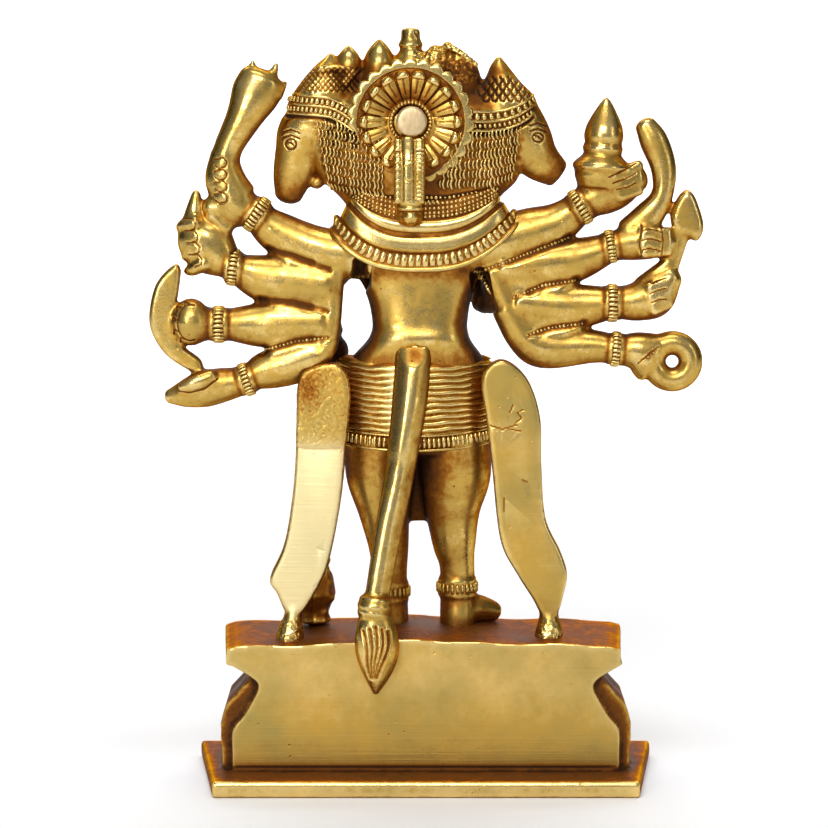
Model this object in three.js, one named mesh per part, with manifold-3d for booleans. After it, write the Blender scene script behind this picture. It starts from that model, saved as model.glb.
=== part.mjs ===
// Five-faced standing idol with ten arms, cast in brass together with its plinth.
// Millimetres, +Z up. The figure faces -Y, +X is its left hand side, and the origin is
// on the floor under the middle of the base slab.

import * as THREE from 'three';
import { mergeVertices } from 'three/addons/utils/BufferGeometryUtils.js';
import Module from 'manifold-3d';

const wasm = await Module();
wasm.setup();

// Driving dimensions.
const totalHeight = 203;
const slabDepth = 49;
const slabThickness = 4.4;
const slabFrontWidth = 126.5;
const slabBackWidth = 113.5;
const plinthBackY = 11;
const plinthFrontY = -21;
const plateUnderside = 33;
const plateTop = 39.6;
const plateEndTop = 37.6;
const plateHalfWidth = 53;
const plateTaper = 0.0013;
const plateTilt = 0.035;
const plateShift = 0.7;
const neckHalfWidth = 44.8;
const footHalfWidth = 51.8;
const armY = -3.5;
const handY = -3;
const sashBackY = 2.6;
const sashThickness = 6;
const rosetteAt = [4.1, 178.2];
const rosetteBackY = 7;
const rimRadius = 17.2;
const dishRadius = 13.6;
const petalCount = 18;
const scallopCount = 27;
const studRadius = 4.05;
const studLength = 6.4;
const studBackY = 9.2;
const studGap = 0.3;
const collarSteps = 24;
const dhotiFolds = 10;
const hemRibs = 12;

// Shapes

const up = new THREE.Vector3(0, 0, 1);
const back = new THREE.Vector3(0, 1, 0);

function vector(list) {
  return new THREE.Vector3(list[0], list[1], list[2]);
}

function meshFrom(points, faces) {
  const geometry = new THREE.BufferGeometry();
  const places = points.flatMap((p) => [p.x, p.y, p.z]);
  geometry.setAttribute('position', new THREE.Float32BufferAttribute(places, 3));
  geometry.setIndex(faces);
  return geometry;
}

// A closed skin over rings that all have the same number of points, fanned shut at each end.
function skin(rings) {
  const size = rings[0].length;
  const points = rings.flat();
  const faces = [];
  for (let i = 0; i + 1 < rings.length; i++) {
    for (let j = 0; j < size; j++) {
      const a = i * size + j;
      const b = i * size + ((j + 1) % size);
      faces.push(a, b, b + size, a, b + size, a + size);
    }
  }
  const last = (rings.length - 1) * size;
  for (const [start, turned] of [[0, true], [last, false]]) {
    const middle = new THREE.Vector3();
    for (let j = 0; j < size; j++) middle.addScaledVector(points[start + j], 1 / size);
    points.push(middle);
    for (let j = 0; j < size; j++) {
      const a = start + j;
      const b = start + ((j + 1) % size);
      faces.push(...(turned ? [b, a, points.length - 1] : [a, b, points.length - 1]));
    }
  }
  return meshFrom(points, faces);
}

// Six times the volume inside a mesh; below zero where its faces point in.
function signedVolume(points, faces) {
  const [a, b, c] = [new THREE.Vector3(), new THREE.Vector3(), new THREE.Vector3()];
  let sum = 0;
  for (let i = 0; i < faces.length; i += 3) {
    a.fromArray(points, faces[i] * 3);
    b.fromArray(points, faces[i + 1] * 3);
    c.fromArray(points, faces[i + 2] * 3);
    sum += a.dot(b.cross(c));
  }
  return sum;
}

// A geometry as a solid with shared corners and its faces turned outwards.
function solid(geometry) {
  const plain = geometry.clone();
  plain.deleteAttribute('normal');
  plain.deleteAttribute('uv');
  const merged = mergeVertices(plain, 1e-4);
  const vertProperties = new Float32Array(merged.attributes.position.array);
  const corners = Array.from(merged.index.array);
  const faces = [];
  for (let i = 0; i < corners.length; i += 3) {
    const [a, b, c] = corners.slice(i, i + 3);
    if (a !== b && b !== c && a !== c) faces.push(a, b, c);
  }
  if (signedVolume(vertProperties, faces) < 0) faces.reverse();
  return new wasm.Manifold(new wasm.Mesh({ numProp: 3, vertProperties, triVerts: new Uint32Array(faces) }));
}

// All the solids as one, joined in pairs so that no step handles more than it must.
function joined(solids) {
  if (solids.length === 1) return solids[0];
  const half = Math.ceil(solids.length / 2);
  return joined(solids.slice(0, half)).add(joined(solids.slice(half)));
}

// An oval ring of points round a centre. shape(angle) scales the radius, for flutes and folds.
function oval(centre, across, deep, halfWidth, halfDepth, sides, shape = () => 1) {
  const ring = [];
  for (let j = 0; j < sides; j++) {
    const angle = (2 * Math.PI * j) / sides;
    const grow = shape(angle);
    ring.push(
      centre.clone()
        .addScaledVector(across, halfWidth * grow * Math.cos(angle))
        .addScaledVector(deep, halfDepth * grow * Math.sin(angle)),
    );
  }
  return ring;
}

// A limb through stations [x, y, z, half width, half depth]. Its ends are flat, or rounded where asked.
function limb(stations, { sides = 6, roundStart = 0, roundEnd = 0, level = false, shape } = {}) {
  const centres = stations.map(vector);
  const count = stations.length;
  const rings = [];
  const add = (centre, across, deep, width, depth) => {
    rings.push(oval(centre, across, deep, width, depth, sides, shape));
  };
  for (let i = 0; i < count; i++) {
    const along = centres[Math.min(i + 1, count - 1)].clone().sub(centres[Math.max(i - 1, 0)]).normalize();
    if (level) along.copy(up);
    const guide = Math.abs(along.y) > 0.85 ? up : back;
    const across = new THREE.Vector3().crossVectors(along, guide).normalize();
    const deep = new THREE.Vector3().crossVectors(across, along).normalize();
    const [width, depth] = [stations[i][3], stations[i][4]];
    const reach = Math.min(width, depth);
    if (i === 0 && roundStart > 0) {
      const tip = centres[0].clone().addScaledVector(along, -roundStart * reach);
      add(tip, across, deep, 0.6 * width, 0.6 * depth);
    }
    add(centres[i], across, deep, width, depth);
    if (i === count - 1 && roundEnd > 0) {
      const tip = centres[i].clone().addScaledVector(along, roundEnd * reach);
      add(tip, across, deep, 0.6 * width, 0.6 * depth);
    }
  }
  return solid(skin(rings));
}

// A rounded lump with its own half sizes along X, Y and Z.
function lump(at, size, detail = 0) {
  const geometry = new THREE.IcosahedronGeometry(1, detail);
  geometry.scale(size[0], size[1], size[2]);
  geometry.translate(at[0], at[1], at[2]);
  return solid(geometry);
}

// A turned form: its profile [radius, height] stands on a point and leans along an axis.
function turned(profile, at, axis, sides = 12) {
  const geometry = new THREE.LatheGeometry(profile.map(([r, h]) => new THREE.Vector2(r, h)), sides);
  geometry.applyQuaternion(new THREE.Quaternion().setFromUnitVectors(back, vector(axis).normalize()));
  geometry.translate(at[0], at[1], at[2]);
  return solid(geometry);
}

// A plate cut to an outline of [x, z] points, from its back face towards the front.
function plate(outline, backY, thickness, { bevel = 0.8 } = {}) {
  const shape = new THREE.Shape(outline.map(([x, z]) => new THREE.Vector2(x, z)));
  const geometry = new THREE.ExtrudeGeometry(shape, {
    depth: thickness - 2 * bevel,
    bevelEnabled: bevel > 0,
    bevelThickness: bevel,
    bevelSize: bevel,
    bevelOffset: -bevel,
    bevelSegments: 1,
  });
  geometry.rotateX(Math.PI / 2);
  geometry.translate(0, backY - bevel, 0);
  return solid(geometry);
}

// A closed skin over rings that run once round and meet the first ring again.
function sweptRound(rings) {
  const size = rings[0].length;
  const steps = rings.length;
  const faces = [];
  for (let i = 0; i < steps; i++) {
    for (let j = 0; j < size; j++) {
      const a = i * size + j;
      const b = i * size + ((j + 1) % size);
      const c = ((i + 1) % steps) * size + ((j + 1) % size);
      const d = ((i + 1) % steps) * size + j;
      faces.push(a, b, c, a, c, d);
    }
  }
  return solid(meshFrom(rings.flat(), faces));
}

// A level band round an oval: its middle is at centre, and section lists its [out, up] corners.
// lift(angle) raises it, and swell(step) scales how far its outer corners stand out.
function hoop(centre, halfWidth, halfDepth, section, steps, { lift = () => 0, swell = () => 1 } = {}) {
  const rings = [];
  for (let i = 0; i < steps; i++) {
    const angle = (2 * Math.PI * i) / steps;
    rings.push(section.map(([out, rise]) => {
      const stand = out > 0 ? out * swell(i) : out;
      return new THREE.Vector3(
        centre[0] + (halfWidth + stand) * Math.sin(angle),
        centre[1] + (halfDepth + stand) * Math.cos(angle),
        centre[2] + rise + lift(angle),
      );
    }));
  }
  return sweptRound(rings);
}

// Plinth

// The top of the plinth bows up in the middle.
function plateTopAt(x) {
  return plateEndTop + (plateTop - plateEndTop) * (1 - (x / plateHalfWidth) ** 2);
}

function baseSlab() {
  const frontY = -slabDepth / 2;
  const backY = slabDepth / 2;
  const shape = new THREE.Shape([
    new THREE.Vector2(-slabFrontWidth / 2, frontY),
    new THREE.Vector2(slabFrontWidth / 2, frontY),
    new THREE.Vector2(slabBackWidth / 2, backY),
    new THREE.Vector2(-slabBackWidth / 2, backY),
  ]);
  return solid(new THREE.ExtrudeGeometry(shape, { depth: slabThickness, bevelEnabled: false }));
}

function topPlate() {
  const steps = 6;
  const outline = [[-plateHalfWidth, plateUnderside], [plateHalfWidth, plateUnderside]];
  for (let i = 0; i <= steps; i++) {
    const x = plateHalfWidth * (1 - (2 * i) / steps);
    outline.push([x, plateTopAt(x)]);
  }
  const shape = new THREE.Shape(outline.map(([x, z]) => new THREE.Vector2(x, z)));
  const depth = plinthBackY - plinthFrontY;
  const geometry = new THREE.ExtrudeGeometry(shape, { depth, bevelEnabled: false });
  geometry.rotateX(Math.PI / 2);
  geometry.translate(0, plinthBackY, 0);
  const places = geometry.attributes.position;
  for (let i = 0; i < places.count; i++) {
    const ahead = plinthBackY - places.getY(i);
    places.setX(i, plateShift + places.getX(i) * (1 + plateTaper * ahead));
    if (places.getZ(i) > plateUnderside + 0.1) places.setZ(i, places.getZ(i) + plateTilt * ahead);
  }
  return solid(geometry);
}

// The waist of the plinth: rectangles from the slab up to the plate, with one flat back.
function waist() {
  const levels = [
    [slabThickness - 1, footHalfWidth, -19.5],
    [15.2, footHalfWidth, -19],
    [18.7, 49, -18],
    [27.3, neckHalfWidth, -15],
    [29.5, 46.4, -16],
    [plateUnderside + 0.5, plateHalfWidth, -20.5],
  ];
  return solid(skin(levels.map(([z, half, front]) => [
    new THREE.Vector3(-half, front, z),
    new THREE.Vector3(half, front, z),
    new THREE.Vector3(half, plinthBackY, z),
    new THREE.Vector3(-half, plinthBackY, z),
  ])));
}

// One lotus petal that hangs from the neck and swells outwards; out is its direction in plan.
function lotusPetal(x, y, out, halfWidth) {
  const levels = [[27.4, -3.4, 0.7, 3.2], [20.5, -0.2, 1, 4.5], [13.5, 1.1, 0.84, 4], [7.5, 1.6, 0.3, 1.2]];
  const rings = levels.map(([z, bulge, width, depth]) => oval(
    new THREE.Vector3(x + out[0] * bulge, y + out[1] * bulge, z),
    new THREE.Vector3(-out[1], out[0], 0),
    new THREE.Vector3(out[0], out[1], 0),
    halfWidth * width,
    depth,
    4,
  ));
  return solid(skin(rings));
}

function plinth() {
  const petals = [];
  const frontCount = 7;
  const pitch = (2 * footHalfWidth - 6) / frontCount;
  for (let i = 0; i < frontCount; i++) {
    petals.push(lotusPetal(pitch * (i - (frontCount - 1) / 2), -18, [0, -1], 0.48 * pitch));
  }
  for (const side of [-1, 1]) {
    for (const y of [-10, 3]) petals.push(lotusPetal(side * 50, y, [side, 0], 6.4));
  }
  return [baseSlab(), topPlate(), waist(), ...petals];
}

// Legs, feet and the sash ends that stand on the plinth

// A ring round an ankle, above the foot.
function anklet(at, radius) {
  return turned([[0, -2.4], [radius + 0.6, -2.2], [radius + 0.6, 2.2], [0, 2.4]], at, [0, 0, 1], 6);
}

function legs() {
  const left = limb([
    [12.4, -9, 92, 9.8, 9], [12.5, -9.6, 82, 9.4, 8.2], [11.4, -10.7, 72, 7.2, 6.8],
    [10.2, -11.8, 62, 5.6, 5.2], [9.9, -12.7, 53, 4.8, 4.4], [9.5, -13.4, 40, 4.9, 4.2],
  ], { sides: 7 });
  const right = limb([
    [-7.6, -9, 92, 9.8, 9], [-8.1, -9.6, 82, 9.8, 8.2], [-7.4, -10.7, 72, 7.6, 6.8],
    [-7.9, -11.8, 62, 5.9, 5.2], [-8.7, -12.5, 55.5, 4.8, 4.4], [-8.9, -13.4, 40, 5, 4.4],
  ], { sides: 7 });
  const feet = [
    limb([[8.6, -13, 41.4, 3.9, 2.9], [10.8, -16.6, 41.4, 4.2, 2.6], [12.8, -20, 40.6, 3.6, 1.6]]),
    limb([[-9.4, -13, 42.4, 3.9, 3.4], [-13.2, -14.4, 44.2, 4, 4.2], [-19, -16.8, 43, 3, 3.2]]),
  ];
  return [left, right, ...feet, anklet([9.7, -13, 49.2], 4.6), anklet([-8.7, -13, 50.4], 4.8)];
}

function sashes() {
  const left = plate([
    [33.5, 43], [38.4, 43], [42.3, 54], [38.2, 65], [35.6, 82], [34.9, 98], [34.2, 106],
    [30, 111.6], [24, 112], [22.3, 90], [23, 76], [26.6, 58.5], [30, 49.5],
  ], sashBackY, sashThickness, { bevel: 0 });
  const right = plate([
    [-30.4, 43], [-36.2, 43], [-38.3, 56.5], [-36.4, 62.6], [-32.4, 71.5], [-31.2, 86], [-30.8, 99],
    [-27.2, 109.5], [-20.4, 114.6], [-16, 110], [-18, 84], [-20.2, 65.5], [-24.6, 56.5],
  ], sashBackY, sashThickness, { bevel: 0 });
  const feet = [
    limb([[37, -0.4, 44.5, 2.7, 3.2], [37, 0, 41.6, 3.9, 4.4], [37.2, 0.5, 37, 4.1, 4.9]]),
    limb([[-33.4, -0.4, 44.5, 2.9, 3.2], [-33.2, 0, 41.6, 3.9, 4.4], [-32.8, 0.5, 37, 4.2, 4.9]]),
  ];
  return [left, right, ...feet];
}

// Body

function torso() {
  return [limb([
    [2.5, -8, 108, 20.2, 9.2], [2.3, -7.6, 114, 18.2, 8.8], [1.8, -7, 119, 14.4, 7.8],
    [1.6, -6.8, 124, 12.9, 7.4],
    [1.7, -6.8, 131, 14.2, 8], [1.8, -6.6, 137, 17.6, 8.3], [0.8, -6, 143, 24.4, 8.4],
    [0.6, -5.4, 150, 23.6, 8],
    [1, -5.2, 156, 18.6, 8],
  ], { sides: 10, level: true })];
}

// Level folds round the hips that rise towards the sides, over a ribbed hem. A pleat hangs in front.
function dhoti() {
  const centre = [3.2, -8.6];
  const [hemZ, topZ, rise] = [94.4, 112.6, 1.5];
  const pitch = (topZ - hemZ) / dhotiFolds;
  const lift = (angle) => rise * Math.sin(angle) ** 2;
  const foldRing = (z, halfWidth, halfDepth) => {
    const across = new THREE.Vector3(1, 0, 0);
    const ring = oval(new THREE.Vector3(...centre, z), across, back, halfWidth, halfDepth, 10);
    for (const p of ring) p.z += rise * ((p.x - centre[0]) / halfWidth) ** 2;
    return ring;
  };
  const rings = [];
  for (let i = 0; i < dhotiFolds; i++) {
    const z = hemZ + pitch * i;
    rings.push(foldRing(z, 20.2, 9.4), foldRing(z + 0.5 * pitch, 21.2, 10.4));
  }
  rings.push(foldRing(topZ, 19.6, 9));
  const hem = hoop([...centre, 91.8], 20.6, 10.1, [[-2.4, -2.2], [0.8, -1.9], [0.4, 2.2]], 2 * hemRibs, {
    lift,
    swell: (i) => (i % 2 ? 0.2 : 1),
  });
  const core = limb([[...centre, 88.8, 18.4, 8.4], [...centre, 96, 19.4, 9]], { sides: 8, level: true });
  const pleat = limb([
    [2.8, -15, 94, 9, 4], [2, -15.6, 78, 7, 3], [0.8, -15.8, 66.6, 6.4, 2.2],
  ], { level: true });
  return [solid(skin(rings)), hem, core, pleat];
}

function tail() {
  const rod = limb([
    [3.2, -1, 117.5, 4.4, 3.4], [3.4, 2.8, 112, 4.8, 3.6], [5, 4.8, 99.5, 4.6, 3.5], [6.9, 6, 86, 4, 3.3],
    [10.4, 8.8, 69, 3.7, 3.1], [13.3, 11.4, 52, 3.4, 3],
  ]);
  const cuff = turned(
    [[0, -2.6], [4.6, -2.4], [4.3, -0.7], [4.8, 0], [4.3, 0.7], [4.5, 2.2], [0, 2.5]],
    [13.7, 12, 49.4], [-0.12, -0.1, 1], 8,
  );
  const locks = 5;
  const tuft = limb([
    [13.6, 12.2, 47.6, 4.3, 3.6], [13.2, 13, 41.6, 5.8, 4.2], [13, 13.4, 36.4, 5.7, 4.2],
    [13.1, 13.4, 31.4, 3.9, 3.2],
    [13.5, 13, 26, 0.9, 1],
  ], { sides: 2 * locks, shape: (angle) => 1 + 0.07 * Math.cos(locks * angle) });
  return [rod, cuff, tuft];
}

// Arms

// A bracelet, square to the arm and standing proud of it.
function bracelet(at, axis, radius, length = 3.6) {
  const half = length / 2;
  return turned([[0, -half], [radius + 0.6, -half], [radius + 0.6, half], [0, half]], at, axis, 6);
}

// Fingers laid side by side: each is a short ridge, count of them spread from the first to the last.
function fingers(first, last, count = 4) {
  const ridges = [];
  for (let i = 0; i < count; i++) {
    const t = i / (count - 1);
    const stations = first.map((station, k) => station.map((value, n) => value + (last[k][n] - value) * t));
    ridges.push(limb(stations, { sides: 4 }));
  }
  return ridges;
}

function leftArms() {
  const arms = [
    limb([
      [21.6, armY, 142.4, 6.5, 5.6], [31, armY, 144, 6.8, 5.2], [40, armY, 148.6, 5.8, 4.6],
      [45.5, handY, 153, 4.1, 4],
    ]),
    limb([
      [21.6, armY, 134.2, 7, 5.4], [38, armY, 135.2, 7.2, 5.2], [44.4, armY, 136.4, 6.4, 4.8],
      [51, handY, 138.8, 4.2, 4],
    ]),
    limb([
      [22.4, armY, 124.2, 6.2, 5.4], [40, armY, 124, 6.6, 5], [45.6, armY, 123.6, 6, 4.6],
      [54, handY, 123.8, 4.2, 4],
    ]),
    limb([
      [23.6, armY, 117.4, 5.8, 5.2], [36, armY, 113.2, 5.8, 4.9], [43.4, armY, 111.2, 5.2, 4.4],
      [47, handY, 109.6, 3.9, 3.9],
    ]),
  ];
  const bracelets = [
    bracelet([45.4, handY, 153.4], [0.8, 0, 0.55], 4.3),
    bracelet([51.8, handY, 139.2], [1, 0, 0.12], 4.2),
    bracelet([55.8, handY, 123.8], [1, 0, 0], 4.2, 4.6),
    bracelet([48.5, handY, 108.9], [1, 0, -0.34], 3.8, 3.8),
  ];
  return [...arms, ...bracelets];
}

// Upper left hand, round the neck of a flask that opens into three prongs.
function flaskHand() {
  const flask = limb([
    [46.6, handY, 154, 4.2, 4], [51, handY, 156.6, 6.6, 4.7], [53.6, handY, 164, 4.9, 4.3],
    [53.2, handY, 170.4, 3.9, 4],
    [48.8, handY, 179, 4.9, 4.4], [45.6, handY, 185.4, 6.6, 4.4], [43.8, handY, 189.4, 6.2, 4],
  ]);
  const heel = limb([[50, handY, 155, 4.4, 4.2], [58, handY, 155.4, 2.8, 3.4]], { sides: 5 });
  const prongLines = [[46.8, 188, 46.2, 194.2], [42.2, 187.6, 39.8, 193.6], [40, 186, 37.4, 188.6]];
  const prongs = prongLines.map(([x0, z0, x1, z1]) => limb([
    [x0, handY, z0, 2.4, 2.6], [x1, handY, z1, 0.6, 0.9],
  ], { sides: 4 }));
  const grip = fingers(
    [[54, 0.6, 168.4, 1.7, 1.2], [57.2, -2, 166, 1.6, 1.6]],
    [[54.6, 0.6, 158.6, 1.8, 1.2], [57.8, -2, 156.2, 1.7, 1.6]],
  );
  return [flask, heel, ...prongs, ...grip];
}

// Second left hand, a fist with its thumb up.
function thumbHand() {
  const fist = limb([
    [52.6, handY, 139.6, 4, 3.9], [57, handY, 143.4, 7, 4.6], [60.8, handY, 147.6, 6.6, 4.6],
    [62.2, handY, 153, 3, 3],
    [61.6, handY, 159.2, 1.2, 1.3],
  ]);
  const grip = fingers(
    [[62, 0.2, 151.8, 1.8, 1.5], [65.2, -2.4, 151, 1.6, 1.6]],
    [[58.8, 0.4, 139.8, 2.1, 1.6], [62.6, -2.4, 137.6, 1.9, 1.7]],
  );
  const knuckles = [148.6, 144.8].map((z) => limb([
    [62, -1.4, z, 2.1, 2.6], [67, -2, z - 0.8, 1.4, 1.7],
  ], { sides: 5 }));
  return [fist, ...grip, ...knuckles];
}

// Third left hand, a round fist on a crescent blade.
function crescentHand() {
  const fist = limb([
    [57.6, handY, 123.8, 4.2, 4], [60.6, handY, 124, 5.2, 4.5], [64.2, handY, 124, 7.2, 5.2],
    [67.4, handY, 124, 6.2, 4.8],
  ], { sides: 7 });
  const blade = plate([
    [66, 138.4], [67.6, 140], [72.6, 134.8], [74.6, 126], [73.2, 120], [69, 114.6], [61.4, 110.4],
    [60.6, 114], [66.6, 119.4], [68, 126], [66.4, 132.4],
  ], -0.6, 4.6, { bevel: 0.9 });
  const grip = fingers(
    [[66, 0.2, 127.6, 1.5, 1.4], [69.2, -2, 127.8, 1.4, 1.4]],
    [[66, 0.2, 119.6, 1.8, 1.5], [69, -2, 119.2, 1.7, 1.5]],
  );
  return [fist, blade, ...grip];
}

// Lower left hand, open, with the fingers together and the thumb laid over them.
function openHand() {
  const palm = limb([
    [49.4, handY, 108.4, 3.8, 3.6], [54.6, handY, 107.4, 4.7, 4], [60, handY, 106.3, 5.1, 3.8],
    [65, handY, 105, 3.9, 3.1],
    [69.4, handY, 104.2, 2, 1.9],
  ], { roundEnd: 0.6 });
  const thumb = limb([
    [57.6, -0.4, 110, 2.2, 1.9], [62, 0.6, 108.2, 2.3, 1.7], [65.8, 0, 107, 1.5, 1.4],
  ], { sides: 5 });
  return [palm, thumb];
}

function rightArms() {
  const arms = [
    limb([
      [-16, armY, 144.6, 6.6, 5.6], [-27, armY, 148, 7, 5.2], [-35, armY, 150.8, 5.8, 4.6],
      [-41.6, handY, 155.4, 4.3, 4],
    ]),
    limb([
      [-15.6, armY, 138.6, 5.6, 5.4], [-32, armY, 140, 7.2, 5.2], [-41, armY, 141.4, 5.9, 4.8],
      [-49.6, handY, 144.6, 4, 3.9],
    ]),
    limb([
      [-19.6, armY, 130.6, 6, 5.2], [-36, armY, 128.6, 6.2, 5], [-43, armY, 128.8, 5.8, 4.6],
      [-50, handY, 129.6, 4.4, 4.2],
    ]),
    limb([
      [-21.4, armY, 128.4, 4, 5], [-26.4, armY, 120.6, 4.9, 5], [-32, armY, 117.6, 5.9, 4.8],
      [-45, armY, 117.8, 4.6, 4.4],
      [-51, handY, 117, 3.9, 4],
    ]),
  ];
  const bracelets = [
    bracelet([-41.4, handY, 155.4], [-0.85, 0, 0.53], 4.3),
    bracelet([-49.6, handY, 144.8], [-1, 0, 0.16], 3.7),
    bracelet([-50.2, handY, 129.6], [-1, 0, 0], 4.3, 4),
    bracelet([-51.2, handY, 117.1], [-1, 0, -0.08], 4),
  ];
  return [...arms, ...bracelets];
}

// Upper right hand, under a pot with a pointed lid.
function potHand() {
  const palm = limb([
    [-42.6, handY, 156.4, 4.3, 4.1], [-47, handY, 158.8, 5.8, 4.7], [-51.6, handY, 161, 5.8, 4.7],
    [-56.8, handY, 163.4, 3.8, 3.6],
  ]);
  const pot = turned(
    [
      [0, -4], [6, -4], [7.4, -0.6], [7.2, 0.6], [8, 1.8], [4.9, 5], [5.5, 6.4], [4.8, 8], [5.3, 10],
      [4.8, 12.4], [2, 18], [0, 20.4],
    ],
    [-46.9, handY, 164.6], [-0.07, 0, 1], 8,
  );
  const grip = fingers(
    [[-49.6, 0.6, 163.8, 1.6, 1.4], [-57, -1, 166.6, 1.6, 1.6]],
    [[-51.6, 0.6, 158.2, 1.6, 1.4], [-57.2, -1, 160, 1.5, 1.6]],
    3,
  );
  return [palm, pot, ...grip];
}

// Second right hand, round the grip of a curved blade.
function bladeHand() {
  const fist = limb([
    [-50, handY, 145, 3.9, 3.8], [-55.6, handY, 145.8, 4.8, 4.4], [-60.6, handY, 146.2, 4.8, 4.4],
    [-65, handY, 146, 3.6, 3.6],
  ]);
  const blade = limb([
    [-54.6, handY, 148.6, 4, 3.2], [-59.6, handY, 152.8, 4.2, 3.2], [-63.4, handY, 158.8, 3, 2.8],
    [-63.6, handY, 166, 3.5, 2.8],
    [-61, handY, 173, 4.2, 2.8], [-58.2, handY, 178.6, 3.2, 2.1],
  ], { roundEnd: 0.4 });
  const grip = fingers(
    [[-59.2, 0.6, 150, 1.5, 1.4], [-59.2, 1, 142, 1.5, 1.4]],
    [[-65, -0.6, 149.4, 1.4, 1.4], [-65, -0.6, 142.6, 1.4, 1.4]],
    3,
  );
  return [fist, blade, ...grip];
}

// Third right hand, holding a small mace.
function maceHand() {
  const fist = limb([
    [-51.8, handY, 129.6, 4.4, 4.2], [-57, handY, 130, 5.4, 4.7], [-61.6, handY, 132, 6.2, 4.7],
    [-66, handY, 136.6, 3.4, 3.6],
  ]);
  const shaft = limb([
    [-63.4, handY, 132, 2.6, 2.6], [-66.2, handY, 139, 1.8, 2], [-69, handY, 149, 2.2, 2],
  ], { sides: 5 });
  const flare = limb([[-58, handY, 134.6, 2.2, 2.4], [-65.4, handY, 140.4, 2, 2.2]], { sides: 4 });
  const head = plate([
    [-69.8, 160], [-66.2, 156.8], [-64.6, 151.6], [-66.8, 147.4], [-70.4, 148], [-72.8, 146.2],
    [-74.6, 150.6], [-73, 156.8],
  ], -0.4, 5.2, { bevel: 1.1 });
  const grip = fingers(
    [[-60, 0.8, 134.6, 1.4, 1.4], [-61.4, 0.8, 127.4, 1.4, 1.4]],
    [[-65, -0.4, 135, 1.3, 1.4], [-65.2, -0.6, 129, 1.3, 1.4]],
    3,
  );
  return [fist, shaft, flare, head, ...grip];
}

// Lower right hand, whose curled fingers and noose close in a ring.
function ringHand() {
  const palm = limb([
    [-52.6, handY, 116.8, 4, 3.9], [-56.6, handY, 116.6, 5.3, 4.5], [-60.4, handY, 115, 7, 4.4],
  ]);
  const hoopShape = new THREE.TorusGeometry(5, 3.3, 5, 11).rotateX(Math.PI / 2);
  const ring = solid(hoopShape.translate(-66.5, handY, 113.8));
  return [palm, ring];
}

// The two arms on the hidden front: an open palm before the chest and a fist on a standing mace.
function frontArms() {
  const rightArm = limb([
    [-17, -8, 144, 5.4, 5], [-19.6, -11.4, 136, 4.8, 4.6], [-18.6, -14.6, 129.6, 4, 4],
    [-14.6, -17.4, 131.4, 3.6, 3.4],
  ], { sides: 5 });
  const rightWrist = bracelet([-16.4, -16.2, 130.2], [0.72, -0.5, 0.3], 3.9, 3.2);
  const rightPalm = limb([
    [-13.6, -18, 133.2, 3.4, 2.2], [-12.2, -18.6, 138, 4.2, 2.2], [-11.4, -18.8, 147, 2.4, 1.5],
  ]);
  const leftArm = limb([
    [21, -8, 143, 5.4, 5], [27.6, -10.6, 134, 4.6, 4.6], [28.6, -12.6, 126, 4.2, 4.2],
    [26.4, -14.8, 118, 3.8, 3.8],
  ], { sides: 5 });
  const leftWrist = bracelet([27.2, -14, 121.4], [-0.24, -0.26, -1], 3.9, 3.2);
  const leftFist = lump([25.8, -15.6, 115.4], [5.2, 5, 5]);
  const maceShaft = limb([[26.2, -16.4, 121, 1.8, 1.8], [30.4, -14.6, 56, 2, 2]], { sides: 5 });
  const maceHead = turned(
    [[0, -13], [4.6, -11.4], [4.4, -9], [6.6, -3.6], [6, 2], [2.8, 6], [0, 8.2]],
    [30.6, -13.6, 52], [0, 0, 1], 6,
  );
  return [rightArm, rightWrist, rightPalm, leftArm, leftWrist, leftFist, maceShaft, maceHead];
}

// Collar

// Each line of the collar runs once round the shoulders at its own size and height, and lifts at the
// shoulders. From the top: a beaded row, a smooth band, a flat band, the ribbed band and a rim.
const collarLines = [
  { halfWidth: 13, halfDepth: 4, z: 157.4, rise: 3 },
  { halfWidth: 20.2, halfDepth: 8.1, z: 156.4, rise: 4 },
  { halfWidth: 20.4, halfDepth: 8.2, z: 152.4, rise: 5 },
  { halfWidth: 21.8, halfDepth: 9.4, z: 149.6, rise: 7.2 },
  { halfWidth: 21.8, halfDepth: 8.8, z: 148.2, rise: 7 },
  { halfWidth: 23.2, halfDepth: 9.9, z: 147.2, rise: 6.6 },
  { halfWidth: 24.4, halfDepth: 10, z: 143.7, rise: 8.4 },
  { halfWidth: 25.3, halfDepth: 9.7, z: 141.6, rise: 9.8, rib: 0.8 },
  { halfWidth: 26.3, halfDepth: 10.3, z: 138.2, rise: 11.6 },
  { halfWidth: 14, halfDepth: 4, z: 139.4, rise: 8 },
];
const collarCentre = [0.2, -5.4];
const collarTurn = 0.065;

function collarLift(rise, halfWidth, angle) {
  return (rise - collarTurn * halfWidth * Math.sin(angle)) * Math.abs(Math.sin(angle)) ** 3;
}

function collar() {
  const rings = [];
  for (let i = 0; i < collarSteps; i++) {
    const angle = (2 * Math.PI * i) / collarSteps;
    rings.push(collarLines.map(({ halfWidth, halfDepth, z, rise, rib = 0 }) => {
      const stand = i % 2 ? rib : 0;
      return new THREE.Vector3(
        collarCentre[0] + (halfWidth + stand) * Math.sin(angle),
        collarCentre[1] + (halfDepth + stand) * Math.cos(angle),
        z + collarLift(rise, halfWidth, angle),
      );
    }));
  }
  return [sweptRound(rings)];
}

// Heads

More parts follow.
